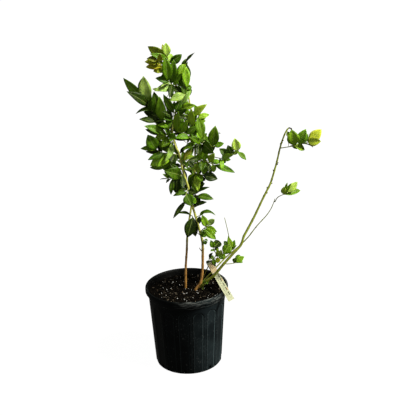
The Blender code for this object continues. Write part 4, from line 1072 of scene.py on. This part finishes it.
def outline(u, length, width):
    """The half-width at a share of the leaf's length: a short stalk, then the oval blade."""
    stalk = PETIOLE / length
    blade = blade_width((u - stalk) / (1 - stalk)) * width * BLADE_HALF if stalk < u < 1 else 0
    return max(blade, PETIOLE_HALF if u < 0.5 else TIP_HALF)


def add_leaf(shape, root, leaf, width, arch, tone, draw):
    length, along, across, normal = leaf
    first, first_face = len(shape.verts), len(shape.faces)
    shape.from_mesh(blade_mesh)
    shape.verts.ensure_lookup_table()
    shape.faces.ensure_lookup_table()
    wave, phase = draw.uniform(*EDGE_WAVE) * MM, draw.uniform(0, 6.3)
    for vert in shape.verts[first:]:
        x, u = vert.co.x, (vert.co.y + 1) / 2
        half = outline(u, length, width)
        side = x * half
        through = (normal - along * arch * 4 * (1 - 2 * u)).normalized()
        keel = BLADE_FOLD * abs(side) * (0.45 + 0.55 * abs(x))
        ripple = math.sin(EDGE_WAVES * u + phase + (WAVE_SHIFT if x > 0 else 0))
        edge = wave * ripple * x * x * min(1, half / WAVE_FULL)
        rise = arch * length * 4 * u * (1 - u) + keel + edge
        vert.co = root + along * (u * length) + across * side + normal * rise + through * vert.co.z * BLADE
    light, warm = draw.uniform(*LIGHTNESS), draw.uniform(*WARMTH)
    red, chance = (draw.uniform(*REDNESS) if tone in RED_TONES else 0.0), draw.random()
    base = TONE_AND_SHADE_COLOURS[tone]
    paint(shape, shape.verts[first:], (base[0] * light * warm, base[1] * light, base[2] * light))
    marks = shape.loops.layers.float_color["marks"]
    for face in shape.faces[first_face:]:
        for loop in face.loops:
            loop[marks] = (loop[marks][0], red, chance, 1)


print("a blade is", BLADE, "m thick, its stalk", PETIOLE, "m long")

# %% [markdown]
# Each shoot is one piece: a thin twig rooted in its cane, with its leaves. A deep leaf stands on a thin
# stalk of its own, which leads to the twig's nearest place.
# %% Shoots and leaves
TWIG_TIP_RADIUS = 0.85 * MM
TWIG_FOOT = (1.5, 1.25)
TWIG_GREEN = (0.210, 0.260, 0.035)
DEEP_STALK = (0.7 * MM, 0.6 * MM, 0.5 * MM)
DEEP_LEAN = 3
DEEP_TURN = (0, 25)
DEEP_ARCH = 0.08
SLOTS = {
    "shoot_red_tips": "red_leaf", "shoot_right_lime": "lime_leaf", "shoot_right_bright": "lime_leaf",
    "shoot_pale": "lime_leaf"}


def add_twig(shape, route, radii, sides):
    """A stem in the twig's own green and its own material, the shape's second."""
    known, known_faces = set(shape.verts), set(shape.faces)
    sweep(shape, route, radii, sides)
    paint(shape, set(shape.verts) - known, TWIG_GREEN)
    for face in set(shape.faces) - known_faces:
        face.material_index = 1


def add_deep_leaf(shape, twig, item, draw):
    root_x, root_z, tip_x, tip_z, depth, width, tone = item
    root, tip = at(root_x, root_z, depth), at(tip_x, tip_z, depth + DEEP_LEAN)
    foot = min(twig, key=lambda place: (place - root).length)
    add_twig(shape, [foot, foot.lerp(root, 0.5), root], DEEP_STALK, sides=6)
    leaf = leaf_frame(root, tip, math.radians(draw.uniform(*DEEP_TURN)))
    add_leaf(shape, root, leaf, width * MM, DEEP_ARCH, tone, draw)


def make_shoot(name):
    route, heart = twig_routes[name]
    whole = smooth_route([heart, *route], STEM_SPACING)
    radii = between(TWIG_RADIUS, TWIG_TIP_RADIUS, len(whole) - 1)
    for i, swelling in enumerate(TWIG_FOOT):
        radii[i] *= swelling
    shape = bmesh.new()
    tint_layer(shape)
    shape.loops.layers.uv.new("leaf")
    shape.loops.layers.float_color.new("marks")
    add_twig(shape, whole, radii, sides=7)
    draw = random.Random(f"{SEED} looks {name}")
    tones = SHOOTS[name][4]
    for number, root, leaf, width, arch in leaves[name]:
        tone = tones[number] if number < len(tones) else TONE_OF_REST
        add_leaf(shape, root, leaf, width, arch, tone, draw)
    for item in DEEP_LEAVES.get(name, []):
        add_deep_leaf(shape, whole, item, draw)
    return finished("fine_" + name, shape, [leaf_finish, twig_bark], [name], SLOTS.get(name, "green_leaf"))


face_total = 0
for shoot_name in SHOOTS:
    face_total += len(make_shoot(shoot_name).data.polygons)
print(len(SHOOTS), "shoots with", face_total, "faces")

# %% [markdown]
# The pot is a blow-moulded nursery pot: one thin wall with a rolled lip, a stacking band below it, sixteen
# shallow flutes and drain slots in its foot. It is a body of revolution, so its section is drawn once,
# its corners are rounded, and it is spun about the axis in steps fine enough to carry the flutes.
# %% Pot sizes
POT_HEIGHT = 214 * MM
RIM_RADIUS = 108 * MM
BAND_RADIUS = 102.4 * MM
BODY_TOP_RADIUS = 100.2 * MM
BASE_RADIUS = 88.4 * MM
LIP_DROP = 12 * MM
BAND_BOTTOM = 190 * MM
WALL_TOP = BAND_BOTTOM - 1 * MM
WALL_FOOT = 2 * MM
WALL = 3.2 * MM
FLOOR = 3.0 * MM
DRAIN_BOTTOM = 3.5 * MM
DRAIN_TOP = 10.5 * MM
FLUTES = 16
FLUTE_TOP = 177 * MM
FLUTE_COLUMNS = 32


def wall_radius(height):
    """The outside radius of the plain wall, which leans outwards."""
    share = (height - WALL_FOOT) / (WALL_TOP - WALL_FOOT)
    return BASE_RADIUS + (BODY_TOP_RADIUS - BASE_RADIUS) * share


print("pot", POT_HEIGHT, "m high,", 2 * RIM_RADIUS, "m across its rim")

# %% [markdown]
# The section runs from the axis up the inside, over the lip and down the outside, with rows close together
# where the flutes are round at their tops. A bevel rounds the corners of the lip before the spin, because
# it has only a few corners to round then.
# %% Spinning the pot's section
LIP_ROUND = 0.45 * MM
ARCH_ROWS = between(FLUTE_TOP + 3 * MM, FLUTE_TOP - 17 * MM, 22)
SHAFT_ROWS = between(FLUTE_TOP - 24 * MM, DRAIN_TOP + 4 * MM, 12)
MERGED = 0.01 * MM


def pot_section(shape):
    top, skirt = POT_HEIGHT, POT_HEIGHT - LIP_DROP
    inner = [
        (0, FLOOR), (BASE_RADIUS - WALL, FLOOR), (wall_radius(DRAIN_TOP) - WALL, DRAIN_TOP),
        (BODY_TOP_RADIUS - WALL, BAND_BOTTOM), (BAND_RADIUS - WALL, BAND_BOTTOM + 3 * MM),
        (BAND_RADIUS - WALL + 0.6 * MM, top - 7 * MM), (RIM_RADIUS - 5 * MM, top - 1 * MM)]
    lip = [
        (RIM_RADIUS - 3 * MM, top), (RIM_RADIUS - 0.8 * MM, top - 0.8 * MM), (RIM_RADIUS, top - 3 * MM),
        (RIM_RADIUS, skirt), (RIM_RADIUS - 2 * MM, skirt), (RIM_RADIUS - 2.6 * MM, top - 6 * MM),
        (BAND_RADIUS + 0.6 * MM, top - 7 * MM), (BAND_RADIUS, BAND_BOTTOM + 1.5 * MM),
        (BODY_TOP_RADIUS, WALL_TOP)]
    wall = [(wall_radius(height), height) for height in ARCH_ROWS + SHAFT_ROWS + [DRAIN_TOP, DRAIN_BOTTOM]]
    base = [(BASE_RADIUS, WALL_FOOT), (BASE_RADIUS - 1.5 * MM, 0), (0, 0)]
    verts = [shape.verts.new((radius, 0, height)) for radius, height in inner + lip + wall + base]
    for pair in zip(verts, verts[1:]):
        shape.edges.new(pair)
    start = len(inner)
    rounded = verts[start:start + len(lip)] + verts[start - 1:start]
    bmesh.ops.bevel(
        shape, geom=rounded, offset=LIP_ROUND, affect="VERTICES", segments=2, profile=0.5, material=-1)


def spin_all(shape, steps):
    bmesh.ops.spin(
        shape, geom=shape.verts[:] + shape.edges[:], cent=(0, 0, 0), axis=(0, 0, 1), angle=2 * math.pi,
        steps=steps, use_merge=True)
    bmesh.ops.remove_doubles(shape, verts=shape.verts, dist=MERGED)
    bmesh.ops.recalc_face_normals(shape, faces=shape.faces)


pot_shape = bmesh.new()
pot_section(pot_shape)
spin_all(pot_shape, FLUTES * FLUTE_COLUMNS)
print("spun pot:", len(pot_shape.faces), "faces")

# %% [markdown]
# A flute is a flat, round-topped panel pressed into the wall. Every corner of the outer wall is tested
# for how far it lies inside the nearest flute's outline, and is sunk to the flat over a soft edge. The
# crease attribute marks both sides of that edge, where the material paints a shadow line outside the
# flute and a highlight line inside it.
# %% Pressing the flutes
FLUTE_TURN = math.radians(-90 + 15.6)
FLUTE_STEP = 2 * math.pi / FLUTES
FLUTE_HALF_TURN = 13.75 * MM / BODY_TOP_RADIUS
FLUTE_SUNK = 0.75 * MM
FLUTE_EDGE = 1.4 * MM
CREASE = 2.6 * MM
ON_WALL = 0.5 * MM


def flute_side(place):
    """The angle off the nearest flute's middle, and that flute's number."""
    angle = (math.atan2(place.y, place.x) - FLUTE_TURN) / FLUTE_STEP
    number = round(angle)
    return (angle - number) * FLUTE_STEP, number % FLUTES


def press_flutes(shape):
    crease = shape.verts.layers.float.new("crease")
    for vert in shape.verts:
        radius, height = math.hypot(vert.co.x, vert.co.y), vert.co.z
        if height > FLUTE_TOP + 5 * MM or abs(radius - wall_radius(height)) > ON_WALL:
            continue
        off, _ = flute_side(vert.co)
        half = FLUTE_HALF_TURN * radius
        above = max(0, height - (FLUTE_TOP - half))
        inside = half - math.hypot(off * radius, above)
        if abs(inside) < CREASE:
            vert[crease] = math.copysign(1 - abs(inside) / CREASE, inside)
        share = clamped(inside / FLUTE_EDGE + 0.5)
        share = share * share * (3 - 2 * share)
        flat = (radius * math.cos(FLUTE_HALF_TURN) - FLUTE_SUNK) / math.cos(off)
        sunk = radius + (flat - radius) * share
        vert.co.x *= sunk / radius
        vert.co.y *= sunk / radius


press_flutes(pot_shape)
print(FLUTES, "flutes pressed into the wall")

# %% [markdown]
# A drain slot is an open window, not a dark patch. Its faces are taken out of both skins of the wall, and
# a bridge joins the two rims that are left, so the slot has its four sides.
# %% Opening the drain slots
DRAIN_COLUMNS = 6
DRAIN_HALF_TURN = 1.02 * DRAIN_COLUMNS / FLUTE_COLUMNS * FLUTE_STEP / 2


def faces_of_drains(shape):
    """The wall's faces inside each window, by the number of its flute. Every other flute has one."""
    windows = {}
    for face in shape.faces:
        middle = face.calc_center_median()
        in_rows = DRAIN_BOTTOM - 0.6 * MM < middle.z < DRAIN_TOP
        if not in_rows or math.hypot(middle.x, middle.y) < BASE_RADIUS - 6 * MM:
            continue
        if max(abs(vert.co.z - middle.z) for vert in face.verts) > (DRAIN_TOP - DRAIN_BOTTOM) * 0.6:
            continue
        off, number = flute_side(middle)
        if number % 2 and abs(off) < DRAIN_HALF_TURN:
            windows.setdefault(number, []).append(face)
    return windows


def open_drains(shape):
    windows = faces_of_drains(shape)
    for faces in windows.values():
        rims = [
            edge for face in faces for edge in face.edges if sum(f in faces for f in edge.link_faces) == 1]
        bmesh.ops.delete(shape, geom=faces, context="FACES")
        bmesh.ops.bridge_loops(shape, edges=[edge for edge in rims if edge.is_valid])
    return len(windows)


print("drain slots:", open_drains(pot_shape))

# %% [markdown]
# The plastic is matte black with a fine moulded grain. The side away from the sun is darkened with painted
# shade, and on the sunny side the lip has grey scuffs with a painted highlight, while the inside of the rim
# is darkened with painted shade. Each flute's edge has a painted shadow line beside a painted highlight
# line. Dried splashes have left pale specks, and a thin film of dust lies on the wall.
# %% Pot plastic
PLASTIC_DARK = (0.0038, 0.0060, 0.0074)
PLASTIC_LIGHT = (0.0110, 0.0170, 0.0200)
CREASE_PAINTED_SHADOW = (0.0004, 0.0005, 0.0006)
CREASE_PAINTED_HIGHLIGHT = (0.060, 0.085, 0.095)
SHADED_SIDE = (0.14, 0.14, 0.14)
SUNNY_SIDE = (1.0, 1.0, 1.0)
SUNNY_WAY = (0.93, -0.37, 0)
INSIDE_PAINTED_SHADE = (0.0006, 0.0006, 0.0006)
SCUFF_AND_HIGHLIGHT_GREY = (0.085, 0.092, 0.092)
BAND_SHADOW = (0.0006, 0.0008, 0.0009)
DUST_GREY = (0.085, 0.092, 0.098)
SPLASH_GREY = (0.12, 0.125, 0.125)
SCUFF_STRETCH = (60, 60, 420)


def pot_plastic():
    material, tree, shader = new_material("matte black plastic", {
        "Roughness": 0.5, "Specular IOR Level": 0.06})
    place = place_of(tree)
    height = add_node(tree, "SeparateXYZ", {"Vector": place})[2]
    broad = clouds(place, 14.0, 5.0, 0.65)
    grain = clouds(place, 900.0, 2.0)
    scuffs = clouds(place_of(tree, SCUFF_STRETCH), 1.0, 5.0)
    colour = blend(tree, broad.ranged(0.35, 0.7), PLASTIC_DARK, PLASTIC_LIGHT)

    crease = attribute(tree, "crease")["Fac"]
    # A painted shadow line just outside each flute's edge, and a painted highlight line just inside it.
    colour = colour.mixed(crease.ranged(-0.05, -0.6), CREASE_PAINTED_SHADOW)
    colour = colour.mixed(crease.ranged(0.05, 0.6) * 0.6, CREASE_PAINTED_HIGHLIGHT)
    # Painted shade: the side away from the sun is darkened, and the sunny side keeps its full colour.
    sunny = add_node(tree, "VectorMath", {0: place, 1: SUNNY_WAY}, operation="DOT_PRODUCT")["Value"]
    painted_side_shade = blend(tree, sunny.ranged(5 * MM, 92 * MM) ** 2.0, SHADED_SIDE, SUNNY_SIDE)
    colour = colour.mixed(1.0, painted_side_shade, "MULTIPLY")

    flat = add_node(tree, "VectorMath", {0: place, 1: (1, 1, 0)}, operation="MULTIPLY")
    radius = add_node(tree, "VectorMath", {0: flat}, operation="LENGTH")["Value"]
    near_top = height.ranged(188 * MM, 199 * MM)
    # Painted shade on the inner wall of the rim, near its top.
    within = radius.ranged(BAND_RADIUS - 0.5 * MM, BAND_RADIUS - 1.5 * MM)
    colour = colour.mixed(within * near_top, INSIDE_PAINTED_SHADE)
    outside = radius.ranged(BAND_RADIUS - 1.5 * MM, BAND_RADIUS - 0.5 * MM)
    # Grey scuffs on the outer lip, kept to the sunny side and made strong there, so they are also a painted
    # highlight.
    near_lip = near_top * outside * sunny.ranged(0, 45 * MM)
    scuff_and_highlight = scuffs.ranged(0.44, 0.62) * near_lip
    colour = colour.mixed(scuff_and_highlight * 0.75, SCUFF_AND_HIGHLIGHT_GREY)
    under_band = abs(height - (BAND_BOTTOM - 0.5 * MM)).ranged(1.8 * MM, 0.8 * MM)
    colour = colour.mixed(under_band, BAND_SHADOW)

    dusty = cells(place, 230.0).ranged(0.22, 0.10) * broad.ranged(0.42, 0.60)
    colour = colour.mixed(dusty * 0.42, DUST_GREY)
    colour = colour.mixed(cells(place, 75.0).ranged(0.10, 0.05) * 0.40, SPLASH_GREY)
    colour.into(shader, "Base Color")
    (scuff_and_highlight * 0.2 + broad.ranged(0.3, 0.75, 0.46, 0.62)).into(shader, "Roughness")
    relief(grain * 0.5 + scuffs * near_lip, shader, 0.25 * MM, 0.6)
    return material


SHARP_ANGLE = math.radians(50)
pot_piece = finished("fluted_pot", pot_shape, [pot_plastic()], ["pot"], "pot_plastic")
pot_piece.data.set_sharp_from_angle(angle=SHARP_ANGLE)
print("pot piece:", len(pot_piece.data.polygons), "faces")

# %% [markdown]
# The pot is filled with shredded bark. Its body is spun like the pot, and its top is raised and lowered by
# noise, so that it heaps and dips. It is nearly black: moist bark is dark, and painted shade under the rim
# and the plant is in its tint as well.
# %% Soil body
SOIL_LEVEL = 201 * MM
SOIL_FALL = 4 * MM
SOIL_ROUGHNESS = 2.4 * MM
SOIL_RINGS = 56
SOIL_STEPS = 168
# The soil's tint is moist bark's dark brown with painted shade in it.
SOIL_TINT = (0.0014, 0.0010, 0.0007)
EARTH_SHADE = (0.30, 0.28, 0.26)
FIBRE_STRETCH = (900, 240, 500)
FIBRE_BROWN = (0.045, 0.028, 0.018)
soil_radius = BAND_RADIUS - WALL - GAP


def soil_height(x, y):
    """The height of the soil's top, coarse heaps first and crumbs on them."""
    aside = min(1, math.hypot(x, y) / soil_radius)
    level = SOIL_LEVEL - SOIL_FALL * aside ** 2
    flat = Vector((x, y, level))
    rough = noise.noise(flat * 95) + 0.8 * noise.noise(flat * 240 + Vector((3, 1, 0)))
    crumbs = 0.45 * noise.noise(flat * 520) + 0.25 * noise.noise(flat * 1100)
    return level + SOIL_ROUGHNESS * (rough + crumbs) * (1 - 0.6 * aside ** 6)


def crumbly(name, roughness, grain_scale):
    """Earthy stuff: its own tint, darkened and lightened by grain, with a rough relief."""
    material, tree, shader = new_material(name, {"Roughness": roughness, "Specular IOR Level": 0.03})
    grain = clouds(place_of(tree), grain_scale, 6.0, 0.7)
    fibre = clouds(place_of(tree, FIBRE_STRETCH), 1.0, 4.0)
    tint = attribute(tree, "tint")
    colour = tint.mixed(1.0, EARTH_SHADE, "MULTIPLY").mixed(grain.ranged(0.38, 0.62), tint)
    colour = colour.mixed(fibre.ranged(0.60, 0.72) * 0.30, FIBRE_BROWN)
    colour.into(shader, "Base Color")
    relief(grain + fibre, shader, 0.6 * MM, 0.9)
    return material


soil_shape = bmesh.new()
top_places = [(radius, SOIL_LEVEL) for radius in between(0, soil_radius, SOIL_RINGS)]
side_places = [
    (soil_radius, BAND_BOTTOM + 3 * MM), (BODY_TOP_RADIUS - WALL - GAP, BAND_BOTTOM),
    (BASE_RADIUS - WALL - GAP, FLOOR + GAP), (0, FLOOR + GAP)]
soil_verts = [soil_shape.verts.new((radius, 0, height)) for radius, height in top_places + side_places]
for pair in zip(soil_verts, soil_verts[1:]):
    soil_shape.edges.new(pair)
spin_all(soil_shape, SOIL_STEPS)
for vert in soil_shape.verts:
    if vert.co.z > SOIL_LEVEL - MM:
        vert.co.z = soil_height(vert.co.x, vert.co.y)
tint_layer(soil_shape)
paint(soil_shape, soil_shape.verts, SOIL_TINT)
soil_piece = finished("soil_body", soil_shape, [crumbly("bark mix", 0.95, 420.0)], ["soil"], "bark_mix")
print("soil piece:", len(soil_piece.data.polygons), "faces")

# %% [markdown]
# Loose chips and a few pale grains of perlite lie on the mix, and their edges are what makes it look
# shredded. A chip is a small block with ragged corners, narrowed to its ends and bowed. Each is turned at
# random and set a little into the soil's top.
# %% Chips and perlite
# The chip tints are partly their own colour and partly painted light: the darkest carry painted shade like
# the soil's tint, and the lightest brown one and the pale ones are also painted glints on moist bark.
CHIP_TINTS = [
    (0.0014, 0.0010, 0.0008), (0.0024, 0.0018, 0.0012), (0.0012, 0.0010, 0.0009), (0.016, 0.012, 0.008),
    (0.050, 0.042, 0.032), (0.0020, 0.0015, 0.0010)]
PALE_TINTS = [(0.22, 0.21, 0.20), (0.15, 0.12, 0.09)]
PERLITE_TINT = Vector((0.52, 0.54, 0.56))
CHIP_COUNT = 620
PALE_CHIP_COUNT = 45
PERLITE_COUNT = 42
CHIP_SHORTEST = 4
CHIP_LONGEST = 11
PALE_LONGEST = 6
CHIP_WIDTH = (1.4, 3.8)
CHIP_DEPTH = (0.8, 1.9)
CHIP_BOW = (-0.9, 0.9)
PERLITE_SIZE = (0.9, 1.9)
CLEAR_OF_WALL = 6 * MM


def lay_down(shape, verts, draw, tilt, raised):
    """Turns new corners at random, tilts them, and sets them on the soil, evenly over its disc."""
    radius = (soil_radius - CLEAR_OF_WALL) * math.sqrt(draw.random())
    angle = draw.uniform(0, 2 * math.pi)
    x, y = radius * math.cos(angle), radius * math.sin(angle)
    turn = Matrix.Rotation(draw.uniform(0, 2 * math.pi), 4, "Z")
    lean = Matrix.Rotation(math.radians(draw.uniform(-tilt, tilt)), 4, "X")
    roll = Matrix.Rotation(math.radians(draw.uniform(-tilt, tilt)), 4, "Y")
    place = Matrix.Translation((x, y, soil_height(x, y) + raised))
    bmesh.ops.transform(shape, matrix=place @ turn @ lean @ roll, verts=verts)


def new_block():
    """A small block with a corner in the middle of each edge and face."""
    shape = bmesh.new()
    bmesh.ops.create_cube(shape, size=1)
    bmesh.ops.subdivide_edges(shape, edges=shape.edges, cuts=1, use_grid_fill=True)
    tint_layer(shape)
    return mesh_of(shape, "block")


def add_chips(shape, block, count, draw, tints, longest):
    for _ in range(count):
        first = len(shape.verts)
        shape.from_mesh(block)
        shape.verts.ensure_lookup_table()
        verts = shape.verts[first:]
        length = draw.uniform(CHIP_SHORTEST, longest) * MM
        width = draw.uniform(*CHIP_WIDTH) * MM
        depth = draw.uniform(*CHIP_DEPTH) * MM
        bow = draw.uniform(*CHIP_BOW) * MM
        shade = draw.uniform(0.7, 1.3)
        paint(shape, verts, [value * shade for value in draw.choice(tints)])
        for vert in verts:
            ragged = [draw.uniform(-0.16, 0.16) for _ in range(3)]
            narrow = 1 - 0.45 * abs(vert.co.x * 2) ** 2
            vert.co = (
                (vert.co.x + ragged[0] * 0.5) * length, (vert.co.y * narrow + ragged[1]) * width,
                (vert.co.z * narrow + ragged[2]) * depth + bow * (2 * vert.co.x) ** 2)
        lay_down(shape, verts, draw, tilt=24, raised=0.3 * MM)


def add_grains(shape, count, draw):
    tint_layer(shape)
    for _ in range(count):
        radius = draw.uniform(*PERLITE_SIZE) * MM
        verts = bmesh.ops.create_icosphere(shape, subdivisions=1, radius=radius)["verts"]
        paint(shape, verts, PERLITE_TINT * draw.uniform(0.55, 1.0))
        for vert in verts:
            vert.co *= draw.uniform(0.8, 1.2)
        lay_down(shape, verts, draw, tilt=60, raised=0.5 * MM)


chip_shape = bmesh.new()
tint_layer(chip_shape)
chip_draw = random.Random(f"{SEED} chips")
chip_block = new_block()
add_chips(chip_shape, chip_block, CHIP_COUNT, chip_draw, CHIP_TINTS, CHIP_LONGEST)
add_chips(chip_shape, chip_block, PALE_CHIP_COUNT, chip_draw, PALE_TINTS, PALE_LONGEST)
chip_piece = finished("bark_chips", chip_shape, [crumbly("bark chips", 0.8, 700.0)], [], "bark_mix")
grain_shape = bmesh.new()
add_grains(grain_shape, PERLITE_COUNT, random.Random(f"{SEED} grains"))
grain_piece = finished("perlite", grain_shape, [crumbly("perlite", 0.9, 1500.0)], [], "bark_mix")
print("chips:", len(chip_piece.data.polygons), "faces, perlite:", len(grain_piece.data.polygons))

# %% [markdown]
# The label's plastic is a dull cream. Its map counts metres down from the bend, so a peach block and plain
# ruled lines can stand where a real label has its print. The end that is turned back is dark.
# %% Label plastic
LABEL_CREAM = ((0.40, 0.42, 0.28), (0.52, 0.54, 0.38))
PEACH = (0.52, 0.40, 0.23)
TURNED_DARK = (0.016, 0.018, 0.014)
# A printed line: where it is across the label, half its width, dashes in a metre, their share, its ink
PRINTED_LINES = [
    (0.70, 0.085, 62.0, 0.78, (0.035, 0.040, 0.030)), (0.30, 0.040, 105.0, 0.70, (0.06, 0.065, 0.05)),
    (0.46, 0.022, 140.0, 0.60, (0.08, 0.08, 0.06)), (0.86, 0.035, 30.0, 0.25, (0.55, 0.20, 0.04))]


def label_material():
    material, tree, shader = new_material("printed label", {"Roughness": 0.4})
    split = add_node(tree, "SeparateXYZ", {"Vector": add_node(tree, "UVMap", uv_map="strip")})
    across, down = split, split[1]
    grain = clouds(place_of(tree), 240.0, 3.0)
    colour = blend(tree, grain.ranged(0.3, 0.7), *LABEL_CREAM)
    peach = down.ranged(6 * MM, 8 * MM) * down.ranged(41 * MM, 38 * MM)
    colour = colour.mixed(peach * 0.9, PEACH).mixed(down.ranged(3 * MM, -1 * MM), TURNED_DARK)
    printed = down.ranged(43 * MM, 44 * MM) * down.ranged(126 * MM, 124 * MM)
    for middle, half, dashes, share, ink in PRINTED_LINES:
        row = abs(across - middle).ranged(half * 1.15, half * 0.85)
        dash = (down * dashes).maths("FRACT").maths("LESS_THAN", share)
        colour = colour.mixed(row * dash * printed * 0.85, ink)
    colour.into(shader, "Base Color")
    relief(grain, shader, 0.1 * MM, 0.4)
    return material


label_finish = label_material()
print("label with", len(PRINTED_LINES), "printed lines")

# %% [markdown]
# The label is a strip of thin sheet plastic, bent over near its top. It starts as a line of points along
# its length, which is extruded across its width in four steps and given a thickness, so its sides stay
# square however it bends.
# %% Label strip
LABEL_WIDTH = 15.9 * MM
LABEL_THICKNESS = 0.5 * MM
LABEL_TOP = Vector((61.5, 38, 258)) * MM
LABEL_FOOT = Vector((110.5, -84, 205)) * MM
LABEL_SIDE = Vector((0.80, 0.35, 0.45))
LABEL_LOOP = 38 * MM
LABEL_LOOP_DEPTH = 12 * MM
LABEL_STEPS = 16
BEND_STEPS = 12
LABEL_COLUMNS = 4


def label_line(length):
    """The label's middle line from its foot up and round the bend: how far down, and how far back."""
    bend = LABEL_LOOP_DEPTH / 2
    run = [(length * (1 - share), 0) for share in between(0, 1, LABEL_STEPS)]
    turn = [(-bend * math.sin(a), bend - bend * math.cos(a)) for a in between(0, math.pi, BEND_STEPS)[1:-1]]
    tail = [(0, 2 * bend), (LABEL_LOOP * 0.4, 2 * bend), (LABEL_LOOP * 0.75, 2 * bend - 1 * MM),
            (LABEL_LOOP, 1.6 * MM), (LABEL_LOOP + 6 * MM, 1.4 * MM)]
    return run + turn + tail


def label_strip():
    along = LABEL_FOOT - LABEL_TOP
    length = along.length
    along.normalize()
    side = square_to(along, LABEL_SIDE)
    back = along.cross(side)
    if back.z > 0:
        back.negate()
    shape = bmesh.new()
    downs = shape.verts.layers.float.new("down")
    verts = []
    for down, behind in label_line(length):
        place = LABEL_TOP + along * down + back * behind - side * LABEL_WIDTH / 2
        verts.append(shape.verts.new(place))
        verts[-1][downs] = down if behind == 0 else -1
    edges = [shape.edges.new(pair) for pair in zip(verts, verts[1:])]
    for _ in range(LABEL_COLUMNS):
        verts, edges = extruded(shape, edges)
        bmesh.ops.translate(shape, verts=verts, vec=side * LABEL_WIDTH / LABEL_COLUMNS)
    strip = shape.loops.layers.uv.new("strip")
    bmesh.ops.recalc_face_normals(shape, faces=shape.faces)
    for face in shape.faces:
        for loop in face.loops:
            off = (loop.vert.co - LABEL_TOP).dot(side) / LABEL_WIDTH + 0.5
            loop[strip].uv = (off, loop.vert[downs])
    bmesh.ops.solidify(shape, geom=shape.faces, thickness=LABEL_THICKNESS)
    return shape


label_piece = finished("label_strip", label_strip(), [label_finish], ["label"], "label_plastic")
label_piece.data.set_sharp_from_angle(angle=SHARP_ANGLE)
print("label:", len(label_piece.data.polygons), "faces")
